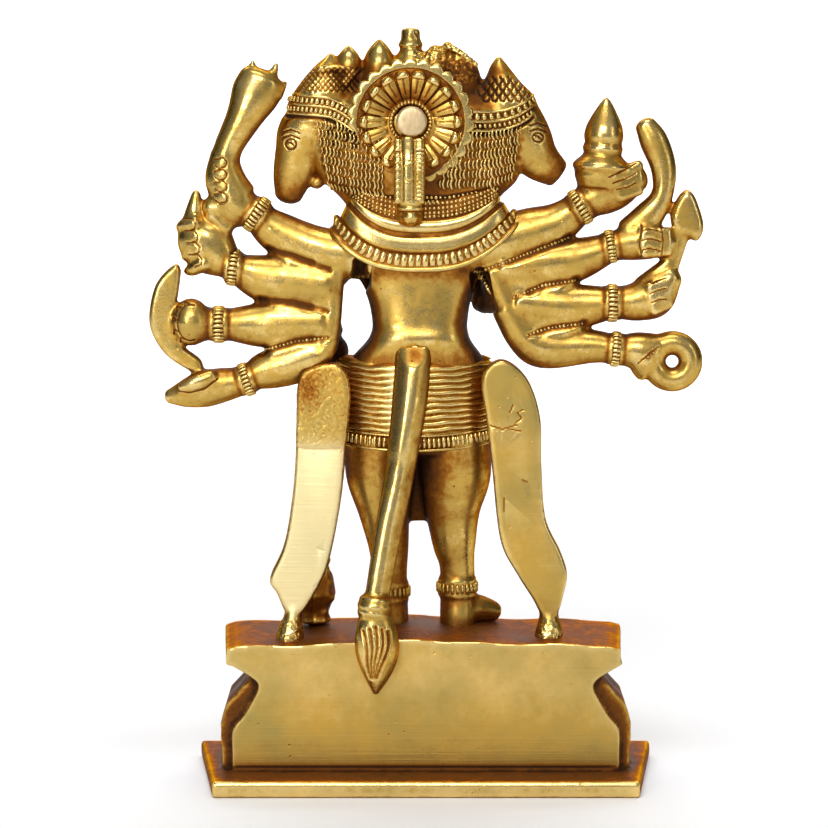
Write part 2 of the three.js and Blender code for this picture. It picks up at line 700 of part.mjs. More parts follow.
function heads() {
  const hair = limb([
    [1.4, -5.2, 154, 19.6, 8.4], [1.6, -5, 158.4, 22.4, 9], [1.8, -4.8, 163, 26.6, 9.8],
    [2.6, -4.8, 171, 29.4, 10.4],
    [3.4, -4.8, 183, 30.4, 10.4], [3.4, -4.6, 190, 26, 8.4], [2.6, -4.6, 195, 16.5, 5.6],
    [2.6, -4.6, 197.6, 11, 3.2],
  ], { sides: 11, level: true });
  const horse = limb([
    [24, -6, 179, 7.4, 7], [31.6, -6.4, 175.8, 7.8, 6.4], [34.2, -6.6, 169.6, 6.5, 5],
    [36, -6.8, 163, 5.3, 4.1],
    [37, -7, 158.6, 3.9, 3.2],
  ], { sides: 7, roundEnd: 0.4 });
  const jaw = lump([29.4, -6.4, 161.8], [2, 2.4, 1.8]);
  const boar = limb([
    [-22, -6, 179.6, 8.6, 7], [-26.2, -6.2, 174, 7.6, 6.4], [-30.2, -6.4, 168.2, 6, 5],
    [-35.6, -6.8, 164, 3.9, 3],
  ], { sides: 7, roundEnd: 0.2 });
  const face = limb([
    [3.4, -12.4, 183, 7.6, 5.6], [3.4, -14.4, 175, 8, 6], [3.4, -15.6, 169, 6.6, 5.8],
    [3.4, -15.2, 163.6, 3.8, 3.8],
  ], { sides: 8, level: true });
  const muzzle = limb([[3.4, -16, 169, 4.6, 4.4], [3.4, -22.4, 168.4, 3.2, 2.8]]);
  const lion = limb([
    [17.6, -11, 181, 6.6, 6], [18.4, -12.4, 174, 6.8, 6.2], [18.8, -13.4, 166.6, 4.8, 4.8],
  ], { level: true });
  const lionMuzzle = lump([20.6, -18, 170.6], [4, 3.6, 3.6]);
  const eagle = limb([
    [-11.6, -11, 181, 6.4, 6], [-12.4, -12.4, 174, 6.4, 6], [-12.8, -13.2, 166.6, 4.6, 4.6],
  ], { level: true });
  const beak = limb([
    [-13.6, -16, 173.4, 2.6, 2.8], [-14.8, -20, 171.6, 1.7, 1.9], [-15, -21.4, 168.8, 0.6, 0.8],
  ], { sides: 4 });
  const ears = [11.8, -5].map((x) => lump([x, -12.4, 175], [1.9, 1.6, 3]));
  return [hair, horse, jaw, boar, face, muzzle, lion, lionMuzzle, eagle, beak, ...ears];
}

// One crown: a domed cap that leans to its tip and ends in a knob.
function crown(base, tip, halfWidth, halfDepth, knob) {
  const at = (t) => base.map((value, i) => value + (tip[i] - value) * t);
  return limb([
    [...at(0), halfWidth, halfDepth], [...at(0.34), halfWidth * 0.94, halfDepth * 0.88],
    [...at(0.74), knob, knob],
    [...at(0.84), knob * 1.1, knob * 1.1], [...at(1), knob * 0.5, knob * 0.5],
  ]);
}

function crowns() {
  const caps = [
    crown([30.4, -6, 179], [25.8, -5, 196], 6.9, 7.4, 3.2),
    crown([21.6, -6, 184], [20.8, -5, 198.2], 6.4, 7, 2.6),
    crown([13.6, -6, 186], [12.6, -5, 199.9], 6.2, 7, 2.6),
    crown([3.8, -7, 184], [4.1, -5.4, 201.6], 8, 8.4, 2.4),
    crown([-7, -6, 186], [-6, -5, 199], 7.4, 7, 3.8),
    crown([-20.6, -6, 180], [-19.8, -5, 195.4], 9.4, 8, 2.6),
  ];
  const flat = turned([
    [0, -3], [2.2, -3], [2, -0.8], [2.2, 0], [0, 0],
  ], [4.1, -5.2, totalHeight], [0, 0, 1], 7);
  const ledge = [[-2.4, 0], [0.8, -1.4], [0.8, 1.4]];
  const bands = [
    hoop([30.2, -6, 181.4], 7, 7.6, ledge, 8),
    hoop([-20.2, -6, 179.4], 8.6, 8.2, ledge, 8),
    hoop([3.4, -10.8, 182.6], 8.2, 7.6, ledge, 8),
  ];
  return [...caps, flat, ...bands];
}

// Wheel behind the heads

// The wheel's face is one net of rings: looped spokes stand up between its hub and its edge,
// and the scalloped rim lies behind it.
function rosette() {
  const [cx, cz] = rosetteAt;
  const steps = 2 * petalCount;
  const ring = (radius, y, ridge) => {
    const points = [];
    for (let i = 0; i < steps; i++) {
      const angle = (2 * Math.PI * i) / steps;
      const stand = i % 2 ? ridge : 0;
      points.push(new THREE.Vector3(cx + radius * Math.sin(angle), y + stand, cz + radius * Math.cos(angle)));
    }
    return points;
  };
  const face = solid(skin([
    ring(dishRadius - 0.4, 1, 0),
    ring(dishRadius, rosetteBackY - 1.8, 0.8),
    ring(dishRadius - 1.8, rosetteBackY - 1.3, 1.8),
    ring(6.8, rosetteBackY - 2.2, 0.8),
    ring(5.4, rosetteBackY + 0.4, 0),
  ]));
  const outline = [];
  for (let i = 0; i < 2 * scallopCount; i++) {
    const angle = (Math.PI * i) / scallopCount;
    const radius = rimRadius - (i % 2 ? 0 : 1.5);
    outline.push([cx + radius * Math.sin(angle), cz + radius * Math.cos(angle)]);
  }
  return [face, plate(outline, 4.6, 3, { bevel: 0 })];
}

// The tassel hangs off the wheel's hub in three strips, down to a ringed end and a bead.
function tassel() {
  const strips = [[7.7, 1.3, 9.6], [4.5, 1.7, 10.4], [1.4, 1.4, 9.6]].map(([x, half, y]) => limb([
    [x + 0.2, y - 1.8, 173, half, 1.6], [x, y, 167, half, 1.7], [x, y, 157.4, half, 1.7],
  ], { sides: 4 }));
  const core = limb([[4.4, 5.4, 173, 4.2, 3.4], [4.2, 6, 153, 3.4, 3.6]], { sides: 5 });
  const end = turned(
    [[0, -5.8], [1.7, -4.6], [2.2, -3.2], [1.9, -2], [3.5, -0.8], [3.5, 1.2], [0, 2]],
    [4.1, 8.6, 156.6], [0, 0, 1], 7,
  );
  return [...strips, core, end];
}

// The stud and its blind hole in the hub, with the dark gap that shows round the stud.
const studAt = [rosetteAt[0] - 0.2, studBackY, rosetteAt[1] + 0.2];

function studHole() {
  const radius = studRadius + studGap;
  const depth = studLength + studGap + 2;
  const bottom = [studAt[0], studBackY + 2 - depth, studAt[2]];
  return turned([[0, 0], [radius, 0], [radius, depth], [0, depth]], bottom, [0, 1, 0], 16);
}

function stud() {
  return turned(
    [
      [0, -studLength], [studRadius, -studLength], [studRadius, -0.6], [studRadius - 1, 0], [0, 0],
    ], studAt, [0, 1, 0], 16,
  );
}

// Model

const brass = new THREE.MeshStandardMaterial({
  name: 'brass', color: 0xc79a3a, roughness: 0.32, metalness: 1,
});
const paleMetal = new THREE.MeshStandardMaterial({
  name: 'pale metal', color: 0xdcc096, roughness: 0.4, metalness: 1,
});

function meshOf(name, body, material) {
  const { vertProperties, triVerts } = body.getMesh();
  const geometry = new THREE.BufferGeometry();
  geometry.setAttribute('position', new THREE.Float32BufferAttribute(vertProperties, 3));
  geometry.setIndex(Array.from(triVerts));
  const mesh = new THREE.Mesh(geometry, material);
  mesh.name = name;
  return mesh;
}

const casting = joined([
  ...plinth(), ...legs(), ...sashes(), ...torso(), ...dhoti(), ...tail(),
  ...leftArms(), ...flaskHand(), ...thumbHand(), ...crescentHand(), ...openHand(),
  ...rightArms(), ...potHand(), ...bladeHand(), ...maceHand(), ...ringHand(),
  ...frontArms(), ...collar(), ...heads(), ...crowns(), ...rosette(), ...tassel(),
]).subtract(studHole());

const model = new THREE.Group();
model.name = 'five-faced idol';
model.add(meshOf('idol', casting, brass), meshOf('rosette_pin', stud(), paleMetal));

export default model;
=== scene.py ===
import math

import bpy
import numpy as np
from mathutils import Euler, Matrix, Vector, noise as turbulence
from mathutils.bvhtree import BVHTree
from mathutils.geometry import tessellate_polygon


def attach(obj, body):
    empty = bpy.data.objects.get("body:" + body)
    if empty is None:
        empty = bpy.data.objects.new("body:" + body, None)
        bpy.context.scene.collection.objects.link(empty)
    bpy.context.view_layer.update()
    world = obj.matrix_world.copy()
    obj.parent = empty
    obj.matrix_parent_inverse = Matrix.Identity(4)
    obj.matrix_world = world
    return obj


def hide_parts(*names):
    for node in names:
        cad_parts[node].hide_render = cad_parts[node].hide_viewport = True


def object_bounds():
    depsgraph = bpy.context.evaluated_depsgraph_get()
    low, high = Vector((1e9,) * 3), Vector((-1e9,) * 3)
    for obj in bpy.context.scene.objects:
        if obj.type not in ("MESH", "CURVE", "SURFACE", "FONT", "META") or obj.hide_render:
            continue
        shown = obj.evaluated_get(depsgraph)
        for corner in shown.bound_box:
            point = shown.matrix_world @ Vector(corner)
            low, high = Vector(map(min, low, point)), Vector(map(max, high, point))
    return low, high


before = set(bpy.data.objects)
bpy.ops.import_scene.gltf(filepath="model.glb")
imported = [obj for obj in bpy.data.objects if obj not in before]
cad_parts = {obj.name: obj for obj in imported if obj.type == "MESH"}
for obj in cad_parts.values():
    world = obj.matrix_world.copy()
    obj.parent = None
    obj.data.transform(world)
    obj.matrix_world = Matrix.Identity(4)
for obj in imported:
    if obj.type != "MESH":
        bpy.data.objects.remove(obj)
cadLow, cadHigh = [np.array(c) * 1000 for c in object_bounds()]
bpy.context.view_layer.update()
scene = bpy.context.scene

up = np.array([0.0, 0.0, 1.0])
back = np.array([0.0, 1.0, 0.0])


# Basic forms. Each gives a pair: points in millimetres, and triangles.

def unit(v):
    return v / np.linalg.norm(v)


def dense(rows, per):
    rows = np.array(rows, float)
    if per < 2:
        return rows
    ends = np.vstack([2 * rows[0] - rows[1], rows, 2 * rows[-1] - rows[-2]])
    out = []
    for i in range(1, len(ends) - 2):
        a, b, c, d = ends[i - 1:i + 3]
        for t in np.linspace(0, 1, per, endpoint=False):
            out.append(0.5 * (2 * b + (c - a) * t + (2 * a - 5 * b + 4 * c - d) * t * t + (3 * b - a - 3 * c + d) * t ** 3))
    return np.array(out + [rows[-1]])


def denseLoop(rows, per):
    rows = np.array(rows, float)
    n = len(rows)
    out = []
    for i in range(n):
        a, b, c, d = rows[i - 1], rows[i], rows[(i + 1) % n], rows[(i + 2) % n]
        for t in np.linspace(0, 1, per, endpoint=False):
            out.append(0.5 * (2 * b + (c - a) * t + (2 * a - 5 * b + 4 * c - d) * t * t + (3 * b - a - 3 * c + d) * t ** 3))
    return np.array(out)


def outwards(points, faces):
    a, b, c = points[faces[:, 0]], points[faces[:, 1]], points[faces[:, 2]]
    if np.einsum("ij,ij->i", a, np.cross(b, c)).sum() < 0:
        faces = faces[:, ::-1]
    return points, faces


# A skin over rings with equal point counts, fanned shut at its ends or run round to its start.
def skin(rings, loop=False):
    rings = np.array(rings)
    n, m = rings.shape[:2]
    points = rings.reshape(-1, 3)
    faces = []
    j = np.arange(m)
    k = (j + 1) % m
    for i in range(n if loop else n - 1):
        a, b = i * m, ((i + 1) % n) * m
        faces.append(np.stack([a + j, a + k, b + k], 1))
        faces.append(np.stack([a + j, b + k, b + j], 1))
    if not loop:
        points = np.vstack([points, rings[0].mean(0), rings[-1].mean(0)])
        faces.append(np.stack([k, j, np.full(m, n * m)], 1))
        faces.append(np.stack([(n - 1) * m + j, (n - 1) * m + k, np.full(m, n * m + 1)], 1))
    return outwards(points, np.vstack(faces))


# A limb through stations [x, y, z, half width, half depth] with rounded ends. box above 2 squares its section.
def limb(stations, sides=20, per=5, start=0.7, end=0.7, level=False, box=2.0, shape=None):
    rows = dense(stations, per)
    rows[:, 3:5] = np.maximum(rows[:, 3:5], 0.15)
    n = len(rows)
    angle = np.linspace(0, 2 * math.pi, sides, endpoint=False)
    c, s = np.cos(angle), np.sin(angle)
    c, s = np.sign(c) * np.abs(c) ** (2 / box), np.sign(s) * np.abs(s) ** (2 / box)
    rings = []
    for i in range(n):
        along = up if level else unit(rows[min(i + 1, n - 1), :3] - rows[max(i - 1, 0), :3])
        guide = up if abs(along[1]) > 0.85 else back
        across = unit(np.cross(along, guide))
        deep = unit(np.cross(across, along))
        grow = shape(angle, i / (n - 1)) if shape else 1.0
        w, d = rows[i, 3:5]
        reach = min(w, d)

        def ring(shift, size):
            return rows[i, :3] + along * shift + np.outer(c * grow * w * size, across) + np.outer(s * grow * d * size, deep)

        if i == 0 and start:
            rings += [ring(-start * reach * math.sin(q), math.cos(q)) for q in (1.35, 1.0, 0.6, 0.25)]
        rings.append(ring(0, 1))
        if i == n - 1 and end:
            rings += [ring(end * reach * math.sin(q), math.cos(q)) for q in (0.25, 0.6, 1.0, 1.35)]
    return skin(rings)


def lump(at, size, tilt=(0, 0, 0)):
    rings = []
    turn = np.array(Euler(tilt).to_matrix())
    for i in range(9):
        q = math.pi * (i + 0.5) / 9
        angle = np.linspace(0, 2 * math.pi, 18, endpoint=False)
        ring = np.stack([np.cos(angle) * math.sin(q), np.sin(angle) * math.sin(q), np.full(18, math.cos(q))], 1)
        rings.append((ring * np.array(size)) @ turn.T + np.array(at))
    return skin(rings)


# A turned form: profile [radius, height], stood on a point and leaned along an axis.
def turned(profile, at, axis, sides=32, shape=None):
    axis = unit(np.array(axis, float))
    guide = up if abs(axis[1]) > 0.85 else back
    across = unit(np.cross(axis, guide))
    deep = np.cross(across, axis)
    angle = np.linspace(0, 2 * math.pi, sides, endpoint=False)
    rings = []
    for radius, height in profile:
        grow = shape(angle, height) if shape else 1.0
        r = max(radius, 0.02) * grow
        rings.append(np.array(at, float) + axis * height + np.outer(np.cos(angle) * r, across) + np.outer(np.sin(angle) * r, deep))
    return skin(rings)


# A plate cut to an outline of [x, z], from its back face forwards, with rounded edges.
def plate(outline, backY, thickness, bevel=0.8, per=5, dish=None):
    line = denseLoop(outline, per) if per > 1 else np.array(outline, float)
    area = 0.5 * np.sum(line[:, 0] * np.roll(line[:, 1], -1) - np.roll(line[:, 0], -1) * line[:, 1])
    if area < 0:
        line = line[::-1]
    edge = np.roll(line, -1, 0) - np.roll(line, 1, 0)
    edge /= np.linalg.norm(edge, axis=1)[:, None] + 1e-9
    inward = np.stack([-edge[:, 1], edge[:, 0]], 1)
    rings = []
    for q in (0.0, 0.45, 0.95, 1.5708):
        flat = line + inward * bevel * (1 - math.sin(q))
        rings.append((flat, backY - bevel * (1 - math.cos(q))))
    for q in (1.5708, 0.95, 0.45, 0.0):
        flat = line + inward * bevel * (1 - math.sin(q))
        rings.append((flat, backY - thickness + bevel * (1 - math.cos(q))))
    n = len(line)
    points = np.vstack([np.stack([f[:, 0], np.full(n, y), f[:, 1]], 1) for f, y in rings])
    faces = []
    j = np.arange(n)
    k = (j + 1) % n
    for i in range(len(rings) - 1):
        a, b = i * n, (i + 1) * n
        faces += [np.stack([a + j, a + k, b + k], 1), np.stack([a + j, b + k, b + j], 1)]
    cap = np.array(tessellate_polygon([[Vector((p[0], p[1], 0)) for p in rings[0][0]]]))
    a, b, c = [rings[0][0][cap[:, q]] for q in range(3)]
    turn = np.cross(b - a, c - a) < 0
    cap[turn] = cap[turn][:, ::-1]
    faces += [cap[:, ::-1], cap + (len(rings) - 1) * n]
    points, faces = points, np.vstack(faces)
    return outwards(points, faces)


# A band round an upright oval: section lists its [out, up] corners.
def hoop(centre, halfWidth, halfDepth, section, steps=72, lift=None):
    rings = []
    for angle in np.linspace(0, 2 * math.pi, steps, endpoint=False):
        raised = lift(angle) if lift else 0
        rings.append([[centre[0] + (halfWidth + o) * math.sin(angle), centre[1] + (halfDepth + o) * math.cos(angle),
                       centre[2] + z + raised] for o, z in section])
    return skin(rings, loop=True)


def joined(parts):
    points, faces, base = [], [], 0
    for p, f in parts:
        points.append(p)
        faces.append(f + base)
        base += len(p)
    return np.vstack(points), np.vstack(faces)


# Meshes and modifiers

def meshObject(name, points, faces):
    mesh = bpy.data.meshes.new(name)
    mesh.vertices.add(len(points))
    mesh.vertices.foreach_set("co", np.asarray(points, np.float32).ravel())
    mesh.loops.add(faces.size)
    mesh.loops.foreach_set("vertex_index", np.asarray(faces, np.int32).ravel())
    mesh.polygons.add(len(faces))
    mesh.polygons.foreach_set("loop_start", np.arange(0, faces.size, 3, dtype=np.int32))
    mesh.update(calc_edges=True)
    obj = bpy.data.objects.new(name, mesh)
    scene.collection.objects.link(obj)
    return obj


def settle(obj):  # the object's modifiers become its mesh
    mesh = bpy.data.meshes.new_from_object(obj.evaluated_get(bpy.context.evaluated_depsgraph_get()))
    obj.modifiers.clear()
    old = obj.data
    obj.data = mesh
    bpy.data.meshes.remove(old)
    return obj


def coordinates(mesh):
    co = np.empty(len(mesh.vertices) * 3, np.float32)
    mesh.vertices.foreach_get("co", co)
    return co.reshape(-1, 3).astype(float)


def normals(mesh):
    n = np.empty(len(mesh.vertices) * 3, np.float32)
    mesh.vertex_normals.foreach_get("vector", n)
    return n.reshape(-1, 3).astype(float)


def triangles(mesh):
    mesh.calc_loop_triangles()
    t = np.empty(len(mesh.loop_triangles) * 3, np.int32)
    mesh.loop_triangles.foreach_get("vertices", t)
    return t.reshape(-1, 3)


def asClay(obj):
    pair = coordinates(obj.data), triangles(obj.data)
    bpy.data.objects.remove(obj)
    return pair


# Overlapping forms become one closed skin, softened as a casting is.
def fuse(name, parts, voxel, rounds, factor=0.5):
    obj = meshObject(name, *joined(parts))
    remesh = obj.modifiers.new("fuse", "REMESH")
    remesh.mode = "VOXEL"
    remesh.voxel_size = voxel
    remesh.adaptivity = 0
    if rounds:
        soften = obj.modifiers.new("soften", "SMOOTH")
        soften.factor = factor
        soften.iterations = rounds
    return settle(obj)


def smoothedCopy(obj, rounds):
    soften = obj.modifiers.new("soften", "SMOOTH")
    soften.factor = 0.5
    soften.iterations = rounds
    mesh = bpy.data.meshes.new_from_object(obj.evaluated_get(bpy.context.evaluated_depsgraph_get()))
    obj.modifiers.clear()
    co = coordinates(mesh)
    bpy.data.meshes.remove(mesh)
    return co


# Dirt and painted shade that belong to a carved line or a region, kept until the piece gets its patina.
soiledAndShaded = {}


def soilAndShade(obj, amount):
    soiledAndShaded[obj.name] = soiledAndShaded.get(obj.name, 0) + amount


# Chiselled lines on the back: each stroke is a run of [x, z] points. A depth below zero raises a ridge.
def carve(obj, strokes, width, depth, facing=0.2, yRange=(-99, 99), dirtAndShade=0.55):
    co, normal = coordinates(obj.data), normals(obj.data)
    push = np.zeros(len(co))
    flat = co[:, [0, 2]]
    sees = (normal[:, 1] > facing) & (co[:, 1] > yRange[0]) & (co[:, 1] < yRange[1])
    for stroke in strokes:
        line = np.array(stroke, float)
        low, high = line.min(0) - width, line.max(0) + width
        at = np.nonzero(sees & (flat > low).all(1) & (flat < high).all(1))[0]
        if not len(at):
            continue
        p = flat[at]
        best = np.full(len(at), 1e9)
        for a, b in zip(line[:-1], line[1:]):
            run = b - a
            t = np.clip(((p - a) @ run) / max(run @ run, 1e-9), 0, 1)
            best = np.minimum(best, np.linalg.norm(p - a - t[:, None] * run, axis=1))
        amount = depth * np.clip(1 - (best / width) ** 2, 0, 1) ** 1.3
        push[at] = np.where(np.abs(amount) > np.abs(push[at]), amount, push[at])
    co -= normal * push[:, None]
    if depth > 0:
        soilAndShade(obj, dirtAndShade * np.clip(push / depth, 0, 1))
    obj.data.vertices.foreach_set("co", co.astype(np.float32).ravel())
    obj.data.update()
    return obj


# Small shapes that are repeated along paths. X runs along the path, Y across it and Z stands out.

def seedShape(name, power, rows=5, sides=8, bend=0.0):
    rings = []
    angle = np.linspace(0, 2 * math.pi, sides, endpoint=False) + math.pi / sides
    c, s = np.cos(angle), np.sin(angle)
    c, s = np.sign(c) * np.abs(c) ** (2 / power), np.sign(s) * np.abs(s) ** (2 / power)
    for i in range(rows):
        q = math.pi * (i + 0.5) / rows
        size = math.sin(q) ** (2 / power)
        y = math.copysign(abs(math.cos(q)) ** (2 / power), math.cos(q))
        rings.append(np.stack([c * size + bend * math.cos(y * 1.5), np.full(sides, y), s * size], 1))
    points, faces = skin(rings)
    obj = meshObject(name, points, faces)
    obj.data.attributes.new("crest", "FLOAT", "POINT").data.foreach_set("value", points[:, 2].astype(np.float32))
    obj.hide_render = True
    return obj


def ornamentTree():
    tree = bpy.data.node_groups.new("ornamentAlongPath", "GeometryNodeTree")
    sockets = tree.interface
    sockets.new_socket("Path", in_out="INPUT", socket_type="NodeSocketGeometry")
    for label, kind, value in [
        ("Ornament", "NodeSocketObject", None), ("Count", "NodeSocketInt", 40), ("Length", "NodeSocketFloat", 1.0),
        ("Height", "NodeSocketFloat", 1.0), ("Stand", "NodeSocketFloat", 1.0), ("Jitter", "NodeSocketFloat", 0.08),
        ("Seed", "NodeSocketInt", 1), ("Material", "NodeSocketMaterial", None),
    ]:
        socket = sockets.new_socket(label, in_out="INPUT", socket_type=kind)
        if value is not None:
            socket.default_value = value
    sockets.new_socket("Ornaments", in_out="OUTPUT", socket_type="NodeSocketGeometry")
    nodes, links = tree.nodes, tree.links
    given = nodes.new("NodeGroupInput")
    curve = nodes.new("GeometryNodeMeshToCurve")
    links.new(given.outputs["Path"], curve.inputs["Mesh"])
    spread = nodes.new("GeometryNodeResampleCurve")
    links.new(curve.outputs["Curve"], spread.inputs["Curve"])
    links.new(given.outputs["Count"], spread.inputs["Count"])
    tangent = nodes.new("GeometryNodeInputTangent")
    along = nodes.new("FunctionNodeAlignRotationToVector")
    along.axis = "X"
    links.new(tangent.outputs["Tangent"], along.inputs["Vector"])
    outward = nodes.new("GeometryNodeInputNamedAttribute")
    outward.data_type = "FLOAT_VECTOR"
    outward.inputs["Name"].default_value = "outward"
    stand = nodes.new("FunctionNodeAlignRotationToVector")
    stand.axis = "Z"
    stand.pivot_axis = "X"
    links.new(along.outputs["Rotation"], stand.inputs["Rotation"])
    links.new(outward.outputs["Attribute"], stand.inputs["Vector"])
    size = nodes.new("ShaderNodeCombineXYZ")
    for socket, label in zip(size.inputs, ("Length", "Height", "Stand")):
        links.new(given.outputs[label], socket)
    low = nodes.new("ShaderNodeMath")
    low.operation = "SUBTRACT"
    low.inputs[0].default_value = 1.0
    links.new(given.outputs["Jitter"], low.inputs[1])
    high = nodes.new("ShaderNodeMath")
    high.operation = "ADD"
    high.inputs[0].default_value = 1.0
    links.new(given.outputs["Jitter"], high.inputs[1])
    vary = nodes.new("FunctionNodeRandomValue")
    vary.data_type = "FLOAT"
    links.new(low.outputs[0], vary.inputs["Min"] if vary.inputs["Min"].enabled else vary.inputs[2])
    links.new(high.outputs[0], vary.inputs["Max"] if vary.inputs["Max"].enabled else vary.inputs[3])
    links.new(given.outputs["Seed"], vary.inputs["Seed"])
    scaled = nodes.new("ShaderNodeVectorMath")
    scaled.operation = "SCALE"
    links.new(size.outputs[0], scaled.inputs[0])
    links.new(vary.outputs[1], scaled.inputs["Scale"])
    shape = nodes.new("GeometryNodeObjectInfo")
    links.new(given.outputs["Ornament"], shape.inputs["Object"])
    place = nodes.new("GeometryNodeInstanceOnPoints")
    links.new(spread.outputs["Curve"], place.inputs["Points"])
    links.new(shape.outputs["Geometry"], place.inputs["Instance"])
    links.new(stand.outputs["Rotation"], place.inputs["Rotation"])
    links.new(scaled.outputs[0], place.inputs["Scale"])
    real = nodes.new("GeometryNodeRealizeInstances")
    links.new(place.outputs["Instances"], real.inputs["Geometry"])
    finish = nodes.new("GeometryNodeSetMaterial")
    links.new(real.outputs["Geometry"], finish.inputs["Geometry"])
    links.new(given.outputs["Material"], finish.inputs["Material"])
    result = nodes.new("NodeGroupOutput")
    links.new(finish.outputs["Geometry"], result.inputs["Ornaments"])
    return tree


ornaments = {
    "bead": seedShape("bead", 2.0),
    "block": seedShape("block", 3.6),
    "lock": seedShape("lock", 2.4, bend=1.9),
}
alongPath = ornamentTree()
socketOf = {item.name: item.identifier for item in alongPath.interface.items_tree if item.in_out == "INPUT"}


# Beads, ribs or locks spread evenly along a path. Sizes are half sizes in millimetres.
def row(ornament, path, outward, count, size, closed=False, jitter=0.08, seed=1, dirtAndShade=0.0):
    path, outward = np.array(path, float), np.array(outward, float)
    mesh = bpy.data.meshes.new("path")
    n = len(path)
    edges = [(i, i + 1) for i in range(n - 1)] + ([(n - 1, 0)] if closed else [])
    mesh.from_pydata(path.tolist(), edges, [])
    mesh.attributes.new("outward", "FLOAT_VECTOR", "POINT").data.foreach_set("vector", outward.astype(np.float32).ravel())
    obj = bpy.data.objects.new("path", mesh)
    scene.collection.objects.link(obj)
    modifier = obj.modifiers.new("ornaments", "NODES")
    modifier.node_group = alongPath
    values = {"Ornament": ornaments[ornament], "Count": count, "Length": size[0], "Height": size[1], "Stand": size[2],
              "Jitter": jitter, "Seed": seed, "Material": castBrass}
    for label, value in values.items():
        modifier[socketOf[label]] = value
    settle(obj)
    crest = np.empty(len(obj.data.vertices), np.float32)
    obj.data.attributes["crest"].data.foreach_get("value", crest)
    points, faces = asClay(obj)
    return points, faces, 0.5 - 0.42 * crest + dirtAndShade


# A plain skin as an ornament that isn't fused: points, faces and how dirty it is.
def loose(pair, dirtAndShade=0.2):
    points, faces = pair
    return points, faces, np.full(len(points), dirtAndShade)


# A path round an upright oval, from one angle to another. Angle 0 is the back and a quarter turn is +X.
def ovalPath(centre, halfWidth, halfDepth, start=0.0, stop=2 * math.pi, steps=72, lift=None, closed=None):
    whole = abs(stop - start) > 6.28 if closed is None else closed
    angle = np.linspace(start, stop, steps, endpoint=not whole)
    raised = np.array([lift(q) for q in angle]) if lift else 0
    path = np.stack([centre[0] + halfWidth * np.sin(angle), centre[1] + halfDepth * np.cos(angle), centre[2] + raised + 0 * angle], 1)
    out = np.stack([halfDepth * np.sin(angle), halfWidth * np.cos(angle), 0 * angle], 1)
    return path, out / np.linalg.norm(out, axis=1)[:, None]


# A path round a tilted circle that an axis runs through, as round a wrist.
def ringPath(at, axis, radius, steps=40, flat=1.0):
    axis = unit(np.array(axis, float))
    guide = up if abs(axis[1]) > 0.85 else back
    across = unit(np.cross(axis, guide))
    deep = np.cross(across, axis)
    angle = np.linspace(0, 2 * math.pi, steps, endpoint=False)
    out = np.outer(np.cos(angle), across) + flat * np.outer(np.sin(angle), deep)
    return np.array(at, float) + radius * out, out


# Lays a line of [x, z] points on the back of a surface. Gives the path and which way is out.
def drape(tree, line, stand=0.0, step=0.8):
    line = np.array(line, float)
    length = np.concatenate([[0], np.cumsum(np.linalg.norm(np.diff(line, axis=0), axis=1))])
    at = np.linspace(0, length[-1], max(3, int(length[-1] / step)))
    path, out = [], []
    for x, z in zip(np.interp(at, length, line[:, 0]), np.interp(at, length, line[:, 1])):
        hit, normal, _, _ = tree.ray_cast(Vector((x, 60.0, z)), Vector((0, -1, 0)))
        if hit is not None:
            path.append(np.array(hit) + stand * np.array(normal))
            out.append(np.array(normal))
    return np.array(path), np.array(out)


def surfaceTree(obj):
    return BVHTree.FromPolygons(coordinates(obj.data).tolist(), triangles(obj.data).tolist())


# A thin raised cord laid on a surface.
def cord(tree, line, radius, stand=0.0):
    path, _ = drape(tree, line, stand)
    return limb([[*point, radius, radius] for point in path], sides=8, per=1)


# Cast roughness on the points that pick(co, normal) chooses.
def roughen(obj, pick, amount, scale):
    co, normal = coordinates(obj.data), normals(obj.data)
    share = pick(co, normal)
    for i in np.nonzero(share > 0.01)[0]:
        lift = turbulence.fractal(Vector(co[i] * scale), 0.8, 2.0, 3)
        co[i] += normal[i] * lift * amount * share[i]
    obj.data.vertices.foreach_set("co", co.astype(np.float32).ravel())
    obj.data.update()


def smoothStep(x):
    x = np.clip(x, 0, 1)
    return x * x * (3 - 2 * x)


# Materials

def cleanMaterial(name):
    material = bpy.data.materials.new(name)
    material.use_nodes = True
    tree = material.node_tree
    tree.nodes.clear()
    return material, tree


class Shader:
    # Adds nodes to a material one line at a time.
    def __init__(self, tree):
        self.tree = tree

    def node(self, kind, inputs=None, **settings):
        n = self.tree.nodes.new(kind)
        for key, value in settings.items():
            setattr(n, key, value)
        for key, value in (inputs or {}).items():
            if isinstance(value, bpy.types.NodeSocket):
                self.tree.links.new(value, n.inputs[key])
            else:
                n.inputs[key].default_value = value
        return n

    def math(self, operation, a, b=0.0, clamp=False):
        return self.node("ShaderNodeMath", {0: a, 1: b}, operation=operation, use_clamp=clamp).outputs[0]

    def noise(self, vector, scale, detail=3.0, roughness=0.5, distortion=0.0):
        return self.node("ShaderNodeTexNoise", {"Vector": vector, "Scale": scale, "Detail": detail, "Roughness": roughness,
                                                "Distortion": distortion}).outputs["Fac"]

    def remap(self, value, low, high, newLow=0.0, newHigh=1.0):
        return self.node("ShaderNodeMapRange", {"Value": value, "From Min": low, "From Max": high, "To Min": newLow,
                                                "To Max": newHigh}, clamp=True).outputs["Result"]

    def mix(self, share, a, b):
        n = self.node("ShaderNodeMix", data_type="RGBA")
        for index, value in ((0, share), (6, a), (7, b)):
            if isinstance(value, bpy.types.NodeSocket):
                self.tree.links.new(value, n.inputs[index])
            else:
                n.inputs[index].default_value = value
        return n.outputs[2]


